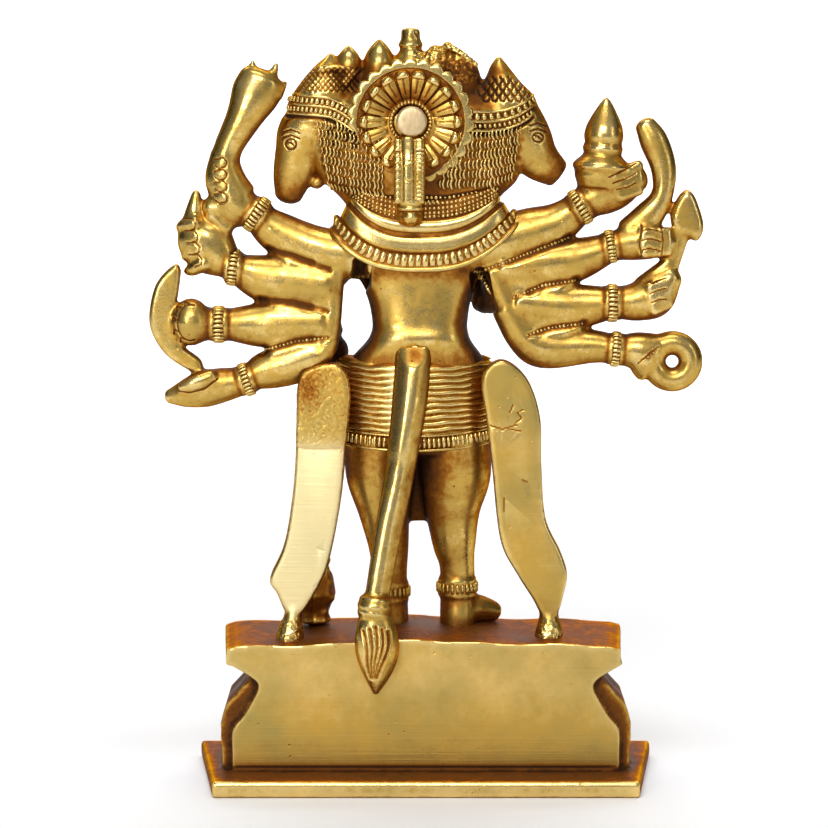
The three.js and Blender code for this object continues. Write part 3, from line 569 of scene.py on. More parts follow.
brassLook = {
    # The pale cream tone is a painted reflection of the light on the +X sash.
    "brushedAndPaintedSheen": (0.95, 0.82, 0.46, 1),
    "polished": (0.88, 0.64, 0.24, 1),
    "mellow": (0.64, 0.385, 0.075, 1),
    "olive": (0.42, 0.315, 0.09, 1),
    "amber": (0.38, 0.145, 0.018, 1),
    # The two darkest tones stand for patina and for painted shade alike.
    "patinaAndShade": (0.145, 0.046, 0.008, 1),
    "crustAndDeepShade": (0.030, 0.011, 0.005, 1),
    "grazing": (0.62, 0.34, 0.10, 1),
    "pitScale": 420.0,
    "grainScale": 1500.0,
}


def brassMaterial():
    material, tree = cleanMaterial("cast brass")
    s = Shader(tree)
    place = s.node("ShaderNodeTexCoord").outputs["Object"]
    # The patina attribute carries patina in hollows together with painted shade.
    recessAndShade = s.node("ShaderNodeAttribute", attribute_name="patinaAndShade").outputs["Fac"]
    ground = s.node("ShaderNodeAttribute", attribute_name="ground").outputs["Fac"]
    broad = s.noise(place, 42.0, 4.0, 0.6)
    blotch = s.noise(place, 190.0, 4.0, 0.66, 0.5)
    speck = s.noise(place, 700.0, 3.0, 0.7)
    grain = s.noise(place, brassLook["grainScale"], 2.0, 0.6)
    pits = s.node("ShaderNodeTexVoronoi", {"Vector": place, "Scale": brassLook["pitScale"], "Randomness": 1.0}).outputs["Distance"]
    pitted = s.remap(pits, 0.16, 0.03)
    pitted = s.math("MULTIPLY", pitted, s.remap(s.noise(place, 95.0, 2.0), 0.54, 0.64))
    wander = s.math("MULTIPLY", s.math("SUBTRACT", blotch, 0.5), 0.7)
    wander = s.math("ADD", wander, s.math("MULTIPLY", s.math("SUBTRACT", broad, 0.5), 0.5))
    wander = s.math("ADD", wander, s.math("MULTIPLY", s.math("SUBTRACT", speck, 0.5), 0.45))
    dirtAndShade = s.math("ADD", recessAndShade, s.math("MULTIPLY", wander, s.math("SUBTRACT", 1.0, s.math("MULTIPLY", ground, 0.75))))
    dirtAndShade = s.math("ADD", dirtAndShade, s.math("MULTIPLY", pitted, 0.45))
    # Colour darkens with dirt, patina and painted shade together; the darkest tones are mostly painted shade.
    colour = s.mix(s.remap(dirtAndShade, 0.02, 0.26), brassLook["polished"], brassLook["mellow"])
    tarnish = s.math("MULTIPLY", s.remap(broad, 0.34, 0.68), s.math("ADD", 0.55, s.math("MULTIPLY", ground, 0.35)))
    colour = s.mix(tarnish, colour, brassLook["olive"])
    colour = s.mix(s.remap(dirtAndShade, 0.34, 0.60), colour, brassLook["amber"])
    colour = s.mix(s.remap(dirtAndShade, 0.58, 0.84), colour, brassLook["patinaAndShade"])
    colour = s.mix(s.remap(dirtAndShade, 0.90, 1.25), colour, brassLook["crustAndDeepShade"])
    metal = s.remap(dirtAndShade, 1.0, 0.60, 0.25, 1.0)
    rough = s.remap(dirtAndShade, 0.15, 0.85, 0.25, 0.58)
    rough = s.math("ADD", rough, s.math("MULTIPLY", s.math("SUBTRACT", blotch, 0.5), 0.2))
    at = s.node("ShaderNodeSeparateXYZ", {"Vector": place}).outputs
    # Flat back of the +X sash: brushed, a little rougher, with a pale cream painted reflection of the light.
    brushedAndPaintedSheen = s.math("MULTIPLY", s.remap(at["X"], 0.0165, 0.0185), s.remap(at["Z"], 0.043, 0.047))
    brushedAndPaintedSheen = s.math("MULTIPLY", brushedAndPaintedSheen, s.remap(at["Z"], 0.0955, 0.0895))
    brushedAndPaintedSheen = s.math("MULTIPLY", brushedAndPaintedSheen, ground)
    rough = s.math("ADD", rough, s.math("MULTIPLY", ground, 0.08))
    rough = s.math("ADD", rough, s.math("MULTIPLY", brushedAndPaintedSheen, 0.1), clamp=True)
    colour = s.mix(s.math("MULTIPLY", brushedAndPaintedSheen, 0.75), colour, brassLook["brushedAndPaintedSheen"])
    stretched = s.node("ShaderNodeMapping", {"Vector": place, "Scale": (22.0, 300.0, 1500.0), "Rotation": (0.0, 0.05, 0.0)}).outputs["Vector"]
    scratches = s.math("MULTIPLY", s.noise(stretched, 1.0, 3.0, 0.7), ground)
    height = s.math("ADD", s.math("MULTIPLY", blotch, 0.13), s.math("MULTIPLY", grain, 0.08))
    height = s.math("ADD", height, s.math("MULTIPLY", speck, 0.12))
    height = s.math("MULTIPLY", height, s.math("SUBTRACT", 1.0, s.math("MULTIPLY", ground, 0.7)))
    height = s.math("SUBTRACT", height, s.math("MULTIPLY", pitted, 0.5))
    height = s.math("ADD", height, s.math("MULTIPLY", scratches, 0.28))
    bump = s.node("ShaderNodeBump", {"Height": height, "Strength": 0.6, "Distance": 0.0004}).outputs["Normal"]
    surface = s.node("ShaderNodeBsdfPrincipled", {"Base Color": colour, "Metallic": metal, "Roughness": rough, "Normal": bump,
                                                        "Specular Tint": brassLook["grazing"]})
    out = s.node("ShaderNodeOutputMaterial")
    tree.links.new(surface.outputs[0], out.inputs["Surface"])
    return material


# The edge tone is near-black painted shade.
pinLook = {"face": (0.76, 0.58, 0.33, 1), "dull": (0.56, 0.40, 0.21, 1), "edge": (0.16, 0.08, 0.04, 1)}


def pinMaterial():
    material, tree = cleanMaterial("filed pale metal")
    s = Shader(tree)
    place = s.node("ShaderNodeTexCoord").outputs["Object"]
    mottle = s.noise(place, 420.0, 4.0, 0.65, 0.5)
    recessAndShade = s.node("ShaderNodeAttribute", attribute_name="patinaAndShade").outputs["Fac"]
    colour = s.mix(s.remap(mottle, 0.35, 0.7), pinLook["face"], pinLook["dull"])
    # Near-black painted shade on the pin's sides in its hole, where the patina attribute is high.
    colour = s.mix(s.remap(recessAndShade, 0.5, 1.0), colour, pinLook["edge"])
    filed = s.node("ShaderNodeMapping", {"Vector": place, "Scale": (2600.0, 600.0, 300.0), "Rotation": (0.0, 0.5, 0.0)}).outputs["Vector"]
    marks = s.noise(filed, 1.0, 2.0, 0.6)
    height = s.math("ADD", s.math("MULTIPLY", marks, 0.5), s.math("MULTIPLY", mottle, 0.5))
    bump = s.node("ShaderNodeBump", {"Height": height, "Strength": 0.4, "Distance": 0.0003}).outputs["Normal"]
    rough = s.remap(mottle, 0.3, 0.7, 0.36, 0.52)
    surface = s.node("ShaderNodeBsdfPrincipled", {"Base Color": colour, "Metallic": 0.9, "Roughness": rough, "Normal": bump})
    out = s.node("ShaderNodeOutputMaterial")
    tree.links.new(surface.outputs[0], out.inputs["Surface"])
    return material


castBrass = brassMaterial()
paleMetal = pinMaterial()
pieces = {}
print("forms and materials ready")


# Plinth

plinthSizes = {
    "slab": [(-63.25, -24.5), (63.25, -24.5), (56.75, 24.5), (-56.75, 24.5)], "slabTop": 4.4,
    "backY": 11.0, "frontY": -21.0, "plateUnder": 33.0, "plateTop": 39.6, "plateEnd": 37.6, "plateHalf": 53.0,
}


def plateTopAt(x):
    p = plinthSizes
    return p["plateEnd"] + (p["plateTop"] - p["plateEnd"]) * (1 - (x / p["plateHalf"]) ** 2)


def plinthForms():
    p = plinthSizes
    slab = []
    corners = p["slab"]
    outline = []
    for i in range(4):
        a, b = np.array(corners[i]), np.array(corners[(i + 1) % 4])
        outline += [a + (b - a) * t for t in np.linspace(0, 1, 24, endpoint=False)]
    outline = np.array(outline)
    for z, inset in ((0, 0.5), (0.4, 0.0), (p["slabTop"] - 0.5, 0.0), (p["slabTop"], 0.6)):
        scale = 1 - inset / 60
        slab.append(np.stack([outline[:, 0] * scale, outline[:, 1] * (1 - inset / 24.5), np.full(len(outline), z)], 1))
    parts = [skin(slab)]
    rings = []
    for y in np.linspace(p["backY"] + 0.6, p["frontY"], 14):
        ahead = p["backY"] - y
        grow = 1 + 0.0013 * ahead
        ring = []
        for x in np.linspace(p["plateHalf"], -p["plateHalf"], 40):
            wave = 0.35 * math.sin(x * 0.13 + 1) + 0.2 * math.sin(x * 0.31)
            edge = min(0.6, 0.6 * max(0.0, (abs(x) - 51.6) / 1.4)) if abs(x) > 51.6 else 0
            ring.append((0.7 + x * grow, y, plateTopAt(x) + 0.035 * ahead + wave - edge))
        for x in np.linspace(-p["plateHalf"], p["plateHalf"], 30):
            ring.append((0.7 + x * grow, y, p["plateUnder"]))
        rings.append(ring)
    parts.append(skin(rings))
    levels = dense([[3.4, 51.8, -19.5], [9, 51.9, -19.4], [15.2, 51.8, -19], [18.7, 49, -18], [23.5, 46.2, -16], [27.3, 44.8, -15],
                    [29.5, 46.4, -16], [33.5, 53, -20.5]], 6)
    rings = []
    for z, half, front in levels:
        side = np.linspace(front, p["backY"] + 0.6, 70, endpoint=False)
        ring = [(x, front, z) for x in np.linspace(-half - petalBulge(front, z), half + petalBulge(front, z), 40, endpoint=False)]
        ring += [(half + petalBulge(y, z), y, z) for y in side]
        ring += [(x, p["backY"] + 0.6, z) for x in np.linspace(half, -half, 40, endpoint=False)]
        ring += [(-half - petalBulge(y, z), y, z) for y in side[::-1]]
        rings.append(ring)
    parts.append(skin(rings))
    return parts


# How far the petals at the sides stand out from the back plate's edge, at a height and a depth.
petalSwell = ([3.4, 9, 15.2, 18.7, 22, 25, 27.3, 29.5, 31], [3.2, 3.1, 3.4, 6.0, 7.0, 5.8, 4.6, 1.4, 0.0])


def petalBulge(y, z):
    swell = np.interp(z, *petalSwell)
    edge = smoothStep((10.2 - y) / 0.5)
    rim = 0.35 * math.exp(-((y - 4.4) / 0.5) ** 2)
    valley = 0.9 * (1 - abs(math.sin(math.pi * (y + 8.8) / 13.0))) ** 3
    return max(0.0, swell * edge - (rim + valley) * min(1.0, swell / 2))


# One lotus petal of the front row: a flat tongue with a second smaller one raised on it.
petalRows = [(29.0, 13.2, 0.66), (26.0, 17.0, 0.86), (22.4, 20.0, 1.0), (19.4, 21.1, 1.0), (14.0, 21.2, 0.88), (9.0, 20.8, 0.6), (5.6, 20.4, 0.22)]


def lotusPetal(along, halfWidth):
    parts = []
    for size, stand in ((1.0, 0.0), (0.74, 0.45)):
        rings = []
        for z, reach, width in dense([list(r) for r in petalRows], 4):
            level = 17.3 + (z - 17.3) * (0.86 if size < 1 else 1.0)
            angle = np.linspace(0, 2 * math.pi, 32, endpoint=False)
            c, q = np.cos(angle), np.sin(angle)
            c, q = np.sign(c) * np.abs(c) ** 0.62, np.sign(q) * np.abs(q) ** 0.62
            rings.append(np.stack([along + halfWidth * width * size * c, -(reach - 1.9 + stand + 1.8 * q), np.full(32, level)], 1))
        parts.append(skin(rings))
    return parts


def buildPlinth():
    parts = plinthForms()
    pitch = (2 * 51.8 - 6) / 7
    for i in range(7):
        parts += lotusPetal(pitch * (i - 3), 0.47 * pitch)
    obj = fuse("idol_plinth", parts, 0.62, 2)
    co = coordinates(obj.data)
    slabLow = co[:, 2] < 5
    co[:, 1] = np.where(slabLow, co[:, 1], np.minimum(co[:, 1], plinthSizes["backY"]))
    obj.data.vertices.foreach_set("co", co.astype(np.float32).ravel())
    obj.data.update()
    return obj


# Legs, skirt, sash ends and tail

skirt = {"centre": (3.2, -8.6), "hemZ": 94.4, "topZ": 112.6, "rise": 1.5, "folds": 11}


def skirtLift(angle, rise=1.5):
    return rise * math.sin(angle) ** 2


def skirtNet():
    cx, cy = skirt["centre"]
    angle = np.linspace(0, 2 * math.pi, 260, endpoint=False)
    rings, dirtAndShade = [], []
    for t in np.linspace(0, 1, 130):
        z = skirt["hemZ"] + (skirt["topZ"] - skirt["hemZ"]) * t
        phase = skirt["folds"] * t + 0.2 * np.sin(2 * angle + 1.2) + 0.1 * np.sin(5 * angle + 4 * t) + 0.05 * np.sin(17 * angle + 11 * t)
        ridge = np.abs(np.sin(math.pi * phase)) ** 0.55
        beside = 1 - 0.75 * np.exp(-((angle - 1.32) / 0.16) ** 2)
        radius = 20.5 + 0.35 * math.sin(math.pi * t) + 1.25 * (1 - (1 - ridge) * beside)
        rings.append(np.stack([cx + (radius - 0.5) * np.cos(angle), cy + (radius - 10.2) * np.sin(angle), z + 1.5 * np.cos(angle) ** 2], 1))
        dirtAndShade.append(0.18 + 0.7 * (1 - ridge) * beside)
    top = rings[-1].mean(0) + (rings[-1] - rings[-1].mean(0)) * 0.9 + np.array([0, 0, 0.9])
    points, faces = skin(rings + [top])
    return points, faces, np.concatenate(dirtAndShade + [np.full(260, 0.7), [0.7, 0.7]])


def turnedLeft(pair, slope=0.07, pivot=31):
    points, faces = pair
    return points + np.outer(slope * (pivot - points[:, 0]), back), faces


def buildLower():
    legs = [
        limb([[12.4, -9, 92, 9.8, 9], [12.5, -9.6, 82, 9.4, 8.2], [11.4, -10.7, 72, 7.2, 6.8], [10.2, -11.8, 62, 5.6, 5.2],
              [9.9, -12.7, 53, 4.8, 4.4], [9.5, -13.4, 40, 4.9, 4.2]], sides=28),
        limb([[-7.6, -9, 92, 9.8, 9], [-8.1, -9.6, 82, 9.8, 8.2], [-7.4, -10.7, 72, 7.6, 6.8], [-7.9, -11.8, 62, 5.9, 5.2],
              [-8.7, -12.5, 55.5, 4.8, 4.4], [-8.9, -13.4, 40, 5, 4.4]], sides=28),
        limb([[8.6, -13, 41.4, 3.9, 2.9], [10.8, -16.6, 41.4, 4.2, 2.6], [12.8, -20, 40.6, 3.6, 1.6]]),
        limb([[-9.4, -13, 42.4, 3.9, 3.4], [-13.2, -14.4, 44.0, 4, 3.8], [-16.6, -15.8, 43.4, 3.4, 3.4], [-19, -16.8, 42.6, 2.8, 2.8]]),
        limb([[9.6, -10.6, 46.5, 3.6, 2.6], [9.6, -10.8, 42, 4.3, 3.4], [9.6, -10.9, 38.6, 4.2, 3.2]]),
        limb([[-9.1, -10.8, 47, 3.8, 2.8], [-9.1, -10.9, 43, 4.3, 3.4], [-9.1, -11, 38.8, 4.2, 3.2]]),
    ]
    for k in range(3):
        legs.append(lump([-15.4 - 1.7 * k, -15.4 - 0.8 * k, 45.2 - 0.9 * k], [1.3, 1.6, 1.3]))
    for x, z, r in ((9.7, 49.2, 4.9), (-8.7, 50.4, 5.1)):
        legs.append(turned([[0, -2.6], [r - 0.3, -2.6], [r + 0.5, -2.3], [r + 0.1, -1.6], [r + 0.1, 1.6], [r + 0.5, 2.3],
                            [r - 0.2, 2.6], [0, 2.6]], [x, -12.9, z], [0, 0, 1]))
    pleat = [limb([[2.8, -14, 94, 9.4, 5.4], [2.4, -14, 82, 8.4, 4.4], [2, -14.2, 74, 7.0, 3.4], [1.4, -14.8, 68.2, 5.4, 2.4]],
                  level=True, shape=lambda a, t: 1 + 0.05 * np.cos(9 * a), end=0.5)]
    cx, cy = skirt["centre"]
    cloth = [limb([[cx, cy, 88.8, 18.4, 8.4], [cx, cy, 96, 19.2, 9], [cx, cy, 111, 19.2, 9]], level=True, sides=64, start=0.1, end=0.1)]
    path, out = ovalPath((cx, cy, 92.0), 20.5, 9.9, lift=skirtLift)
    trim = [row("block", path, out, 74, (0.5, 1.5, 0.85), closed=True, seed=4)]
    for z in (90.0, 94.0):
        trim.append(loose(hoop((cx, cy, z), 20.4, 9.8, [(-1.6, -0.35), (0.7, -0.35), (1.0, 0), (0.7, 0.35), (-1.6, 0.35)], lift=skirtLift), 0.25))
    trim.append(loose(hoop((cx, cy, 92), 20.2, 9.6, [(-1.6, -1.8), (0.1, -1.8), (0.1, 1.8), (-1.6, 1.8)], lift=skirtLift), 0.8))
    sashes = [
        turnedLeft(plate([[34.4, 45], [37.6, 45], [40.4, 51], [42.3, 55], [38.2, 65], [35.6, 82], [34.9, 98], [34.6, 107], [32.6, 111.8], [24, 113.6],
                          [20.3, 107], [21.4, 92], [23, 76], [26.6, 58.5], [31, 49.5]], 2.6, 6, bevel=0.7)),
        plate([[-31.6, 45], [-35.4, 45], [-37.4, 51], [-38.3, 56.5], [-36.4, 62.6], [-32.4, 71.5], [-31.2, 86], [-30.8, 99], [-27.2, 109.5],
               [-20.4, 114.6], [-15, 110], [-16.4, 98], [-18, 84], [-20.2, 65.5], [-24.6, 56.5], [-29, 49.5]], 2.6, 6, bevel=0.7),
        limb([[35.6, -0.4, 47, 2.4, 2.9], [36.2, -0.2, 44, 2.5, 3.4], [36.7, 0.2, 41, 3.4, 4.6], [37.0, 0.5, 37, 4.0, 5.0]], box=2.4),
        limb([[-33.4, -0.4, 47, 2.6, 2.9], [-33.5, -0.2, 44, 2.7, 3.4], [-33.5, 0.2, 41, 3.5, 4.6], [-33.2, 0.5, 37, 4.0, 5.0]], box=2.4),
    ]
    tail = [
        limb([[3.2, 0.6, 117.6, 4.9, 3.0], [3.3, 2.2, 113.4, 4.9, 3.5], [4.2, 4.2, 104, 4.8, 3.5], [5.2, 5.2, 97, 4.5, 3.4], [6.2, 5.6, 91, 4.3, 3.5],
              [6.9, 6, 86, 4, 3.3], [8.6, 7.4, 77.4, 3.9, 3.2], [10.4, 8.8, 69, 3.7, 3.1], [13.3, 11.4, 52, 3.3, 3]], sides=28, start=0.15,
             shape=lambda a, t: 1 + 0.07 * np.cos(3 * a + 0.8 + 2.2 * t) + 0.03 * np.cos(5 * a - 3 * t)),
        turned([[0, -2.8], [4.2, -2.6], [4.8, -1.9], [4.2, -1.0], [4.9, 0], [4.2, 1.0], [4.6, 2.0], [4.0, 2.6], [0, 2.7]],
               [13.7, 12, 49.4], [-0.12, -0.1, 1]),
        limb([[13.6, 12.2, 47.6, 4.3, 3.6], [13.2, 13, 41.6, 5.8, 4.2], [13, 13.4, 36.4, 5.7, 4.2], [13.1, 13.4, 31.4, 3.9, 3.2],
              [13.5, 13, 26, 0.9, 1]], sides=60),
    ]
    mace = [
        limb([[26.2, -16.4, 121, 1.8, 1.8], [30.4, -14.6, 56, 2, 2]], per=1),
        turned([[0, -13], [4.6, -11.4], [3.6, -9], [5.7, -3.6], [4.9, 1.6], [2.6, 5.4], [0, 7.8]], [30.6, -13.6, 52], [0, 0, 1],
               shape=lambda a, h: 1 + 0.05 * np.cos(8 * a)),
    ]
    for x, z, size in ((27.4, 58.0, 1.5), (28.0, 55.4, 1.8), (26.9, 51.8, 1.7), (26.7, 47.6, 1.9), (28.2, 43.6, 1.6)):
        mace.append(lump([x, -11.4, z], [size, size, size * 0.9]))
    base = asClay(fuse("base", legs + pleat + cloth + sashes + tail + mace, 0.55, 3))
    for x, z, r in ((9.7, 49.2, 5.05), (-8.7, 50.4, 5.25)):
        path, out = ringPath((x, -12.9, z), (0, 0, 1), r)
        trim.append(row("block", path, out, 24, (0.48, 1.45, 0.6), closed=True, seed=7))
    obj = fuse("idol_legs", [base], 0.38, 3)
    carve(obj, [[(3.2, 117.2), (3.2, 116.2)]], 3.4, 0.9, facing=0.0, yRange=(-2, 12), dirtAndShade=0.45)
    flames = []
    for k in range(5):
        top, foot, sway = (10.0 + 1.7 * k, 44.6 - 0.6 * abs(k - 2)), (12.7 + 0.42 * k, 30.8), 0.5
        flames.append([(top[0] + (foot[0] - top[0]) * t ** 1.6 - sway * math.sin(5.2 * t), top[1] + (foot[1] - top[1]) * t)
                       for t in np.linspace(0, 1, 12)])
    carve(obj, flames, 0.72, 0.4, yRange=(8, 30), dirtAndShade=0.36)
    carve(obj, [[(35.0, 91.0), (30, 90.6), (22.8, 90.9)]], 0.35, 0.12, facing=0.5, yRange=(1, 4), dirtAndShade=0.2)
    cuts = [[(-26.2, 101.4), (-24.6, 100.4), (-25.8, 99.0), (-23.9, 97.6)], [(-23.4, 102.6), (-22.6, 100.6)], [(-22, 96.2), (-25.6, 95.4)],
            [(-17.2, 97), (-20.6, 96.0), (-24.6, 97.2)], [(-27.6, 81.6), (-26.0, 82.2)], [(-21.2, 77.4), (-21.0, 73.6)],
            [(22.6, 78.6), (22.9, 75.8)], [(27.6, 63.0), (29.4, 63.6)]]
    carve(obj, cuts, 0.3, 0.2, facing=0.5, yRange=(1, 4), dirtAndShade=0.25)
    roughen(obj, lambda co, n: (co[:, 0] > 17) * (np.abs(co[:, 1] - 2) < 3) * smoothStep((co[:, 2] - 90.5) / 2), 0.1, 1.3)
    co = coordinates(obj.data)
    topLeft = (co[:, 0] > 17) * (co[:, 1] > -2) * (co[:, 1] < 5) * smoothStep((co[:, 2] - 96) / 12)
    soilAndShade(obj, 0.3 * topLeft * smoothStep((co[:, 0] - 25) / 7) + 0.12 * topLeft)
    soilAndShade(obj, 0.08 * (co[:, 0] > 17) * (np.abs(co[:, 1] - 2) < 3.4) * smoothStep((co[:, 2] - 89) / 4))
    # Painted shade between the legs and under the hem, and the back of the legs a little darker overall.
    betweenShade = np.exp(-((co[:, 0] - 1.6) / 6.5) ** 2) * smoothStep((co[:, 2] - 60) / 12) * smoothStep((94 - co[:, 2]) / 3)
    underHem = smoothStep((co[:, 2] - 78) / 10) * smoothStep((93 - co[:, 2]) / 3)
    soilAndShade(obj, (co[:, 1] < 1.5) * (0.45 * betweenShade + 0.25 * underHem) + 0.04 * (co[:, 1] < 1.5) * (co[:, 2] < 92))
    # Painted shade down the tail's −X side.
    onTail = (co[:, 1] > 0) * (np.abs(co[:, 0] - np.interp(co[:, 2], [52, 69, 86, 104, 116], [13.3, 10.4, 6.9, 4.2, 3.2])) < 5.5)
    middle = np.interp(co[:, 2], [52, 69, 86, 104, 116], [13.3, 10.4, 6.9, 4.2, 3.2])
    soilAndShade(obj, 0.24 * onTail * smoothStep((middle - 0.6 - co[:, 0]) / 2.2))
    roughen(obj, lambda co, n: (co[:, 1] > -8) * (co[:, 1] < 7) * (np.abs(co[:, 0]) > 26) * smoothStep((45 - co[:, 2]) / 2), 0.22, 1.1)
    return obj, [skirtNet()] + trim


# Body, collar and the two front arms

collarLook = {
    "centre": (0.2, -5.4), "ribs": 70, "beads": 88, "plan": 4.0,
    # half width, half depth, height and rise at the shoulders, from the top edge down
    "lines": [
        (13, 5.0, 158.2, 3.0), (18.4, 8.6, 157.6, 3.6), (19.2, 9.0, 156.8, 4.4), (19.4, 9.2, 152.9, 5.4), (19.3, 8.8, 152.5, 5.8),
        (19.6, 9.4, 152.2, 6.4), (19.9, 10.1, 151.6, 7.0), (20.1, 10.4, 150.4, 7.6), (20.2, 10.2, 149.2, 8.0), (20.0, 9.5, 148.8, 8.2),
        (20.2, 9.2, 148.4, 8.3), (20.7, 9.75, 148.2, 8.4), (20.5, 9.2, 147.8, 8.5), (21.2, 10.2, 147.6, 8.7), (21.9, 10.5, 146.0, 9.0),
        (22.7, 10.5, 143.8, 9.7), (22.7, 9.9, 143.4, 9.9), (22.9, 9.6, 143.1, 10.0), (24.6, 9.9, 141.6, 10.8), (25.0, 9.9, 139.9, 11.4),
        (25.6, 10.6, 139.6, 11.6), (25.9, 10.8, 139.0, 11.8), (25.8, 10.4, 138.3, 11.9), (24.6, 9.0, 138.1, 11.7), (14, 4, 139.4, 8),
    ],
}


# The bands droop in the middle and climb to the shoulders, more steeply on the left one.
def collarPoint(angle, halfWidth, halfDepth, z, rise):
    c = collarLook["centre"]
    a, b = math.sin(angle), math.cos(angle)
    x = math.copysign(abs(a) ** (2 / collarLook["plan"]), a)
    y = math.copysign(abs(b) ** (2 / collarLook["plan"]), b)
    turn = 0.1 * (halfWidth - 20) / 5
    climb = rise * (1 - math.copysign(turn, x)) * abs(x) ** (3.1 if x > 0 else 2.35)
    return [c[0] + halfWidth * x, c[1] + halfDepth * y, z + climb]


def collarPath(halfWidth, halfDepth, z, rise, steps=140):
    angles = np.linspace(0, 2 * math.pi, steps, endpoint=False)
    path = np.array([collarPoint(a, halfWidth, halfDepth, z, rise) for a in angles])
    run = np.roll(path, -1, 0) - np.roll(path, 1, 0)
    out = np.stack([-run[:, 1], run[:, 0], 0 * run[:, 0]], 1)
    out *= np.sign(np.einsum("ij,ij->i", out, path - path.mean(0)))[:, None]
    return path, out / np.linalg.norm(out, axis=1)[:, None]


def collarNet():
    lines = np.array(collarLook["lines"], float)
    rows = [lines[0]]
    for a, b in zip(lines[:-1], lines[1:]):
        steps = max(1, int(np.linalg.norm(b[[1, 2]] - a[[1, 2]]) / 0.5))
        rows += [a + (b - a) * (k + 1) / steps for k in range(steps)]
    rows = np.array(rows)
    level = np.interp(rows[:, 2], [138, 139.0, 139.7, 140.2, 143.5, 144.2, 144.6, 147.4, 147.8, 148.6, 149.1, 150.6, 151.6, 152.3, 153, 157.4],
                      [0.5, 0.15, 0.7, 0.85, 0.85, 0.5, 0.2, 0.16, 0.95, 0.95, 0.3, 0.06, 0.2, 0.95, 0.85, 0.9])
    angles = np.linspace(0, 2 * math.pi, 300, endpoint=False)
    points, faces = skin([[collarPoint(a, *r) for r in rows] for a in angles], loop=True)
    return points, faces, np.tile(level, len(angles))


waistHollows = [[(17.4, 140.4), (17.8, 135.0)], [(-14.6, 137.0), (-15.6, 131.4)]]  # hollows between waist and fans, darkened with painted shade


def buildBody():
    torso = [limb([
        [2.5, -8, 106, 19.6, 8.4], [2.5, -8, 108, 19.8, 8.6], [2.3, -7.6, 114, 18.0, 8.9], [1.9, -7, 118.4, 14.6, 9.4],
        [1.7, -6.9, 120.6, 13.4, 9.5], [1.6, -6.8, 124, 12.9, 8.7], [1.7, -6.8, 131, 14.2, 8.3], [1.8, -6.6, 137, 17.6, 8.0],
        [0.8, -6, 143, 24.4, 8.0], [0.6, -5.4, 150, 23.0, 7.8], [1, -5.2, 156, 18.0, 7.8]], sides=56, level=True, box=2.7)]
    arms = [
        limb([[-17, -8, 144, 5.4, 5], [-19.6, -11.4, 136, 4.8, 4.6], [-18.6, -14.6, 129.6, 4, 4], [-14.6, -17.4, 131.4, 3.6, 3.4]]),
        turned([[0, -1.8], [4.1, -1.8], [4.6, -1.2], [4.4, 0], [4.6, 1.2], [4.1, 1.8], [0, 1.8]], [-16.4, -16.2, 130.2], [0.72, -0.5, 0.3]),
        limb([[-13.6, -18, 133.2, 3.4, 2.2], [-12.2, -18.6, 138, 4.2, 2.2], [-11.8, -18.8, 142, 3.4, 1.8]]),
        limb([[21, -8, 143, 5.4, 5], [27.6, -10.6, 134, 4.6, 4.6], [28.6, -12.6, 126, 4.2, 4.2], [26.4, -14.8, 118, 3.8, 3.8]]),
        turned([[0, -1.8], [4.1, -1.8], [4.6, -1.2], [4.4, 0], [4.6, 1.2], [4.1, 1.8], [0, 1.8]], [27.2, -14, 121.4], [-0.24, -0.26, -1]),
        lump([25.8, -15.6, 115.4], [4.8, 4.6, 4.8]),
    ]
    for k in range(4):  # fingers of the raised palm and of the fist
        arms.append(limb([[-14.4 + 1.5 * k, -18.8, 140.6, 0.85, 0.8], [-13.6 + 1.3 * k, -19, 146.6 - 0.5 * abs(k - 1.4), 0.75, 0.7]], sides=12))
        arms.append(limb([[23.6, -19.2, 118 - 1.9 * k, 0.9, 0.9], [28.6, -19.2, 117.8 - 1.9 * k, 0.9, 0.9]], sides=12))
    trim = [collarNet()]
    path, out = collarPath(24.0, 9.85, 141.4, 10.8)
    trim.append(row("block", path, out, collarLook["ribs"], (0.84, 1.7, 0.75), closed=True, jitter=0.12, seed=3))
    for z, w, d, rise in ((156.6, 19.1, 9.05, 4.6), (155.3, 19.2, 9.1, 4.8), (154.1, 19.3, 9.15, 5.1), (153.1, 19.4, 9.2, 5.4)):
        path, out = collarPath(w, d, z, rise)
        trim.append(row("bead", path, out, collarLook["beads"], (0.5, 0.44, 0.42), closed=True, jitter=0.25, seed=int(z * 2)))
    obj = fuse("idol_body", torso + arms, 0.45, 5)
    # Cut the hollows and fill them with near-black painted shade.
    for hollow in waistHollows:
        carve(obj, [hollow], 3.1, 3.0, facing=-0.2, yRange=(-9, 8), dirtAndShade=1.1)
    co = coordinates(obj.data)
    # More painted shade round each hollow.
    for (x, z), _ in waistHollows:
        soilAndShade(obj, 0.4 * np.exp(-((co[:, 0] - x) ** 2 + (co[:, 2] - z + 2) ** 2) / 14) * (co[:, 1] > -8))
    # Painted shade along the sides of the waist.
    half = np.interp(co[:, 2], [112, 118.4, 124, 131, 137], [19, 14.6, 12.9, 14.2, 17.6])
    waist = smoothStep((co[:, 2] - 110) / 4) * smoothStep((140 - co[:, 2]) / 3)
    soilAndShade(obj, 0.5 * waist * smoothStep((np.abs(co[:, 0] - 1.8) - half + 4.4) / 2.6))
    # Painted shade in a band under the collar and on the lower waist.
    soilAndShade(obj, 0.3 * smoothStep((co[:, 2] - 134) / 4) * smoothStep((141 - co[:, 2]) / 2) + 0.25 * smoothStep((119 - co[:, 2]) / 5))
    return obj, trim


# The eight arms that fan out, with what they hold

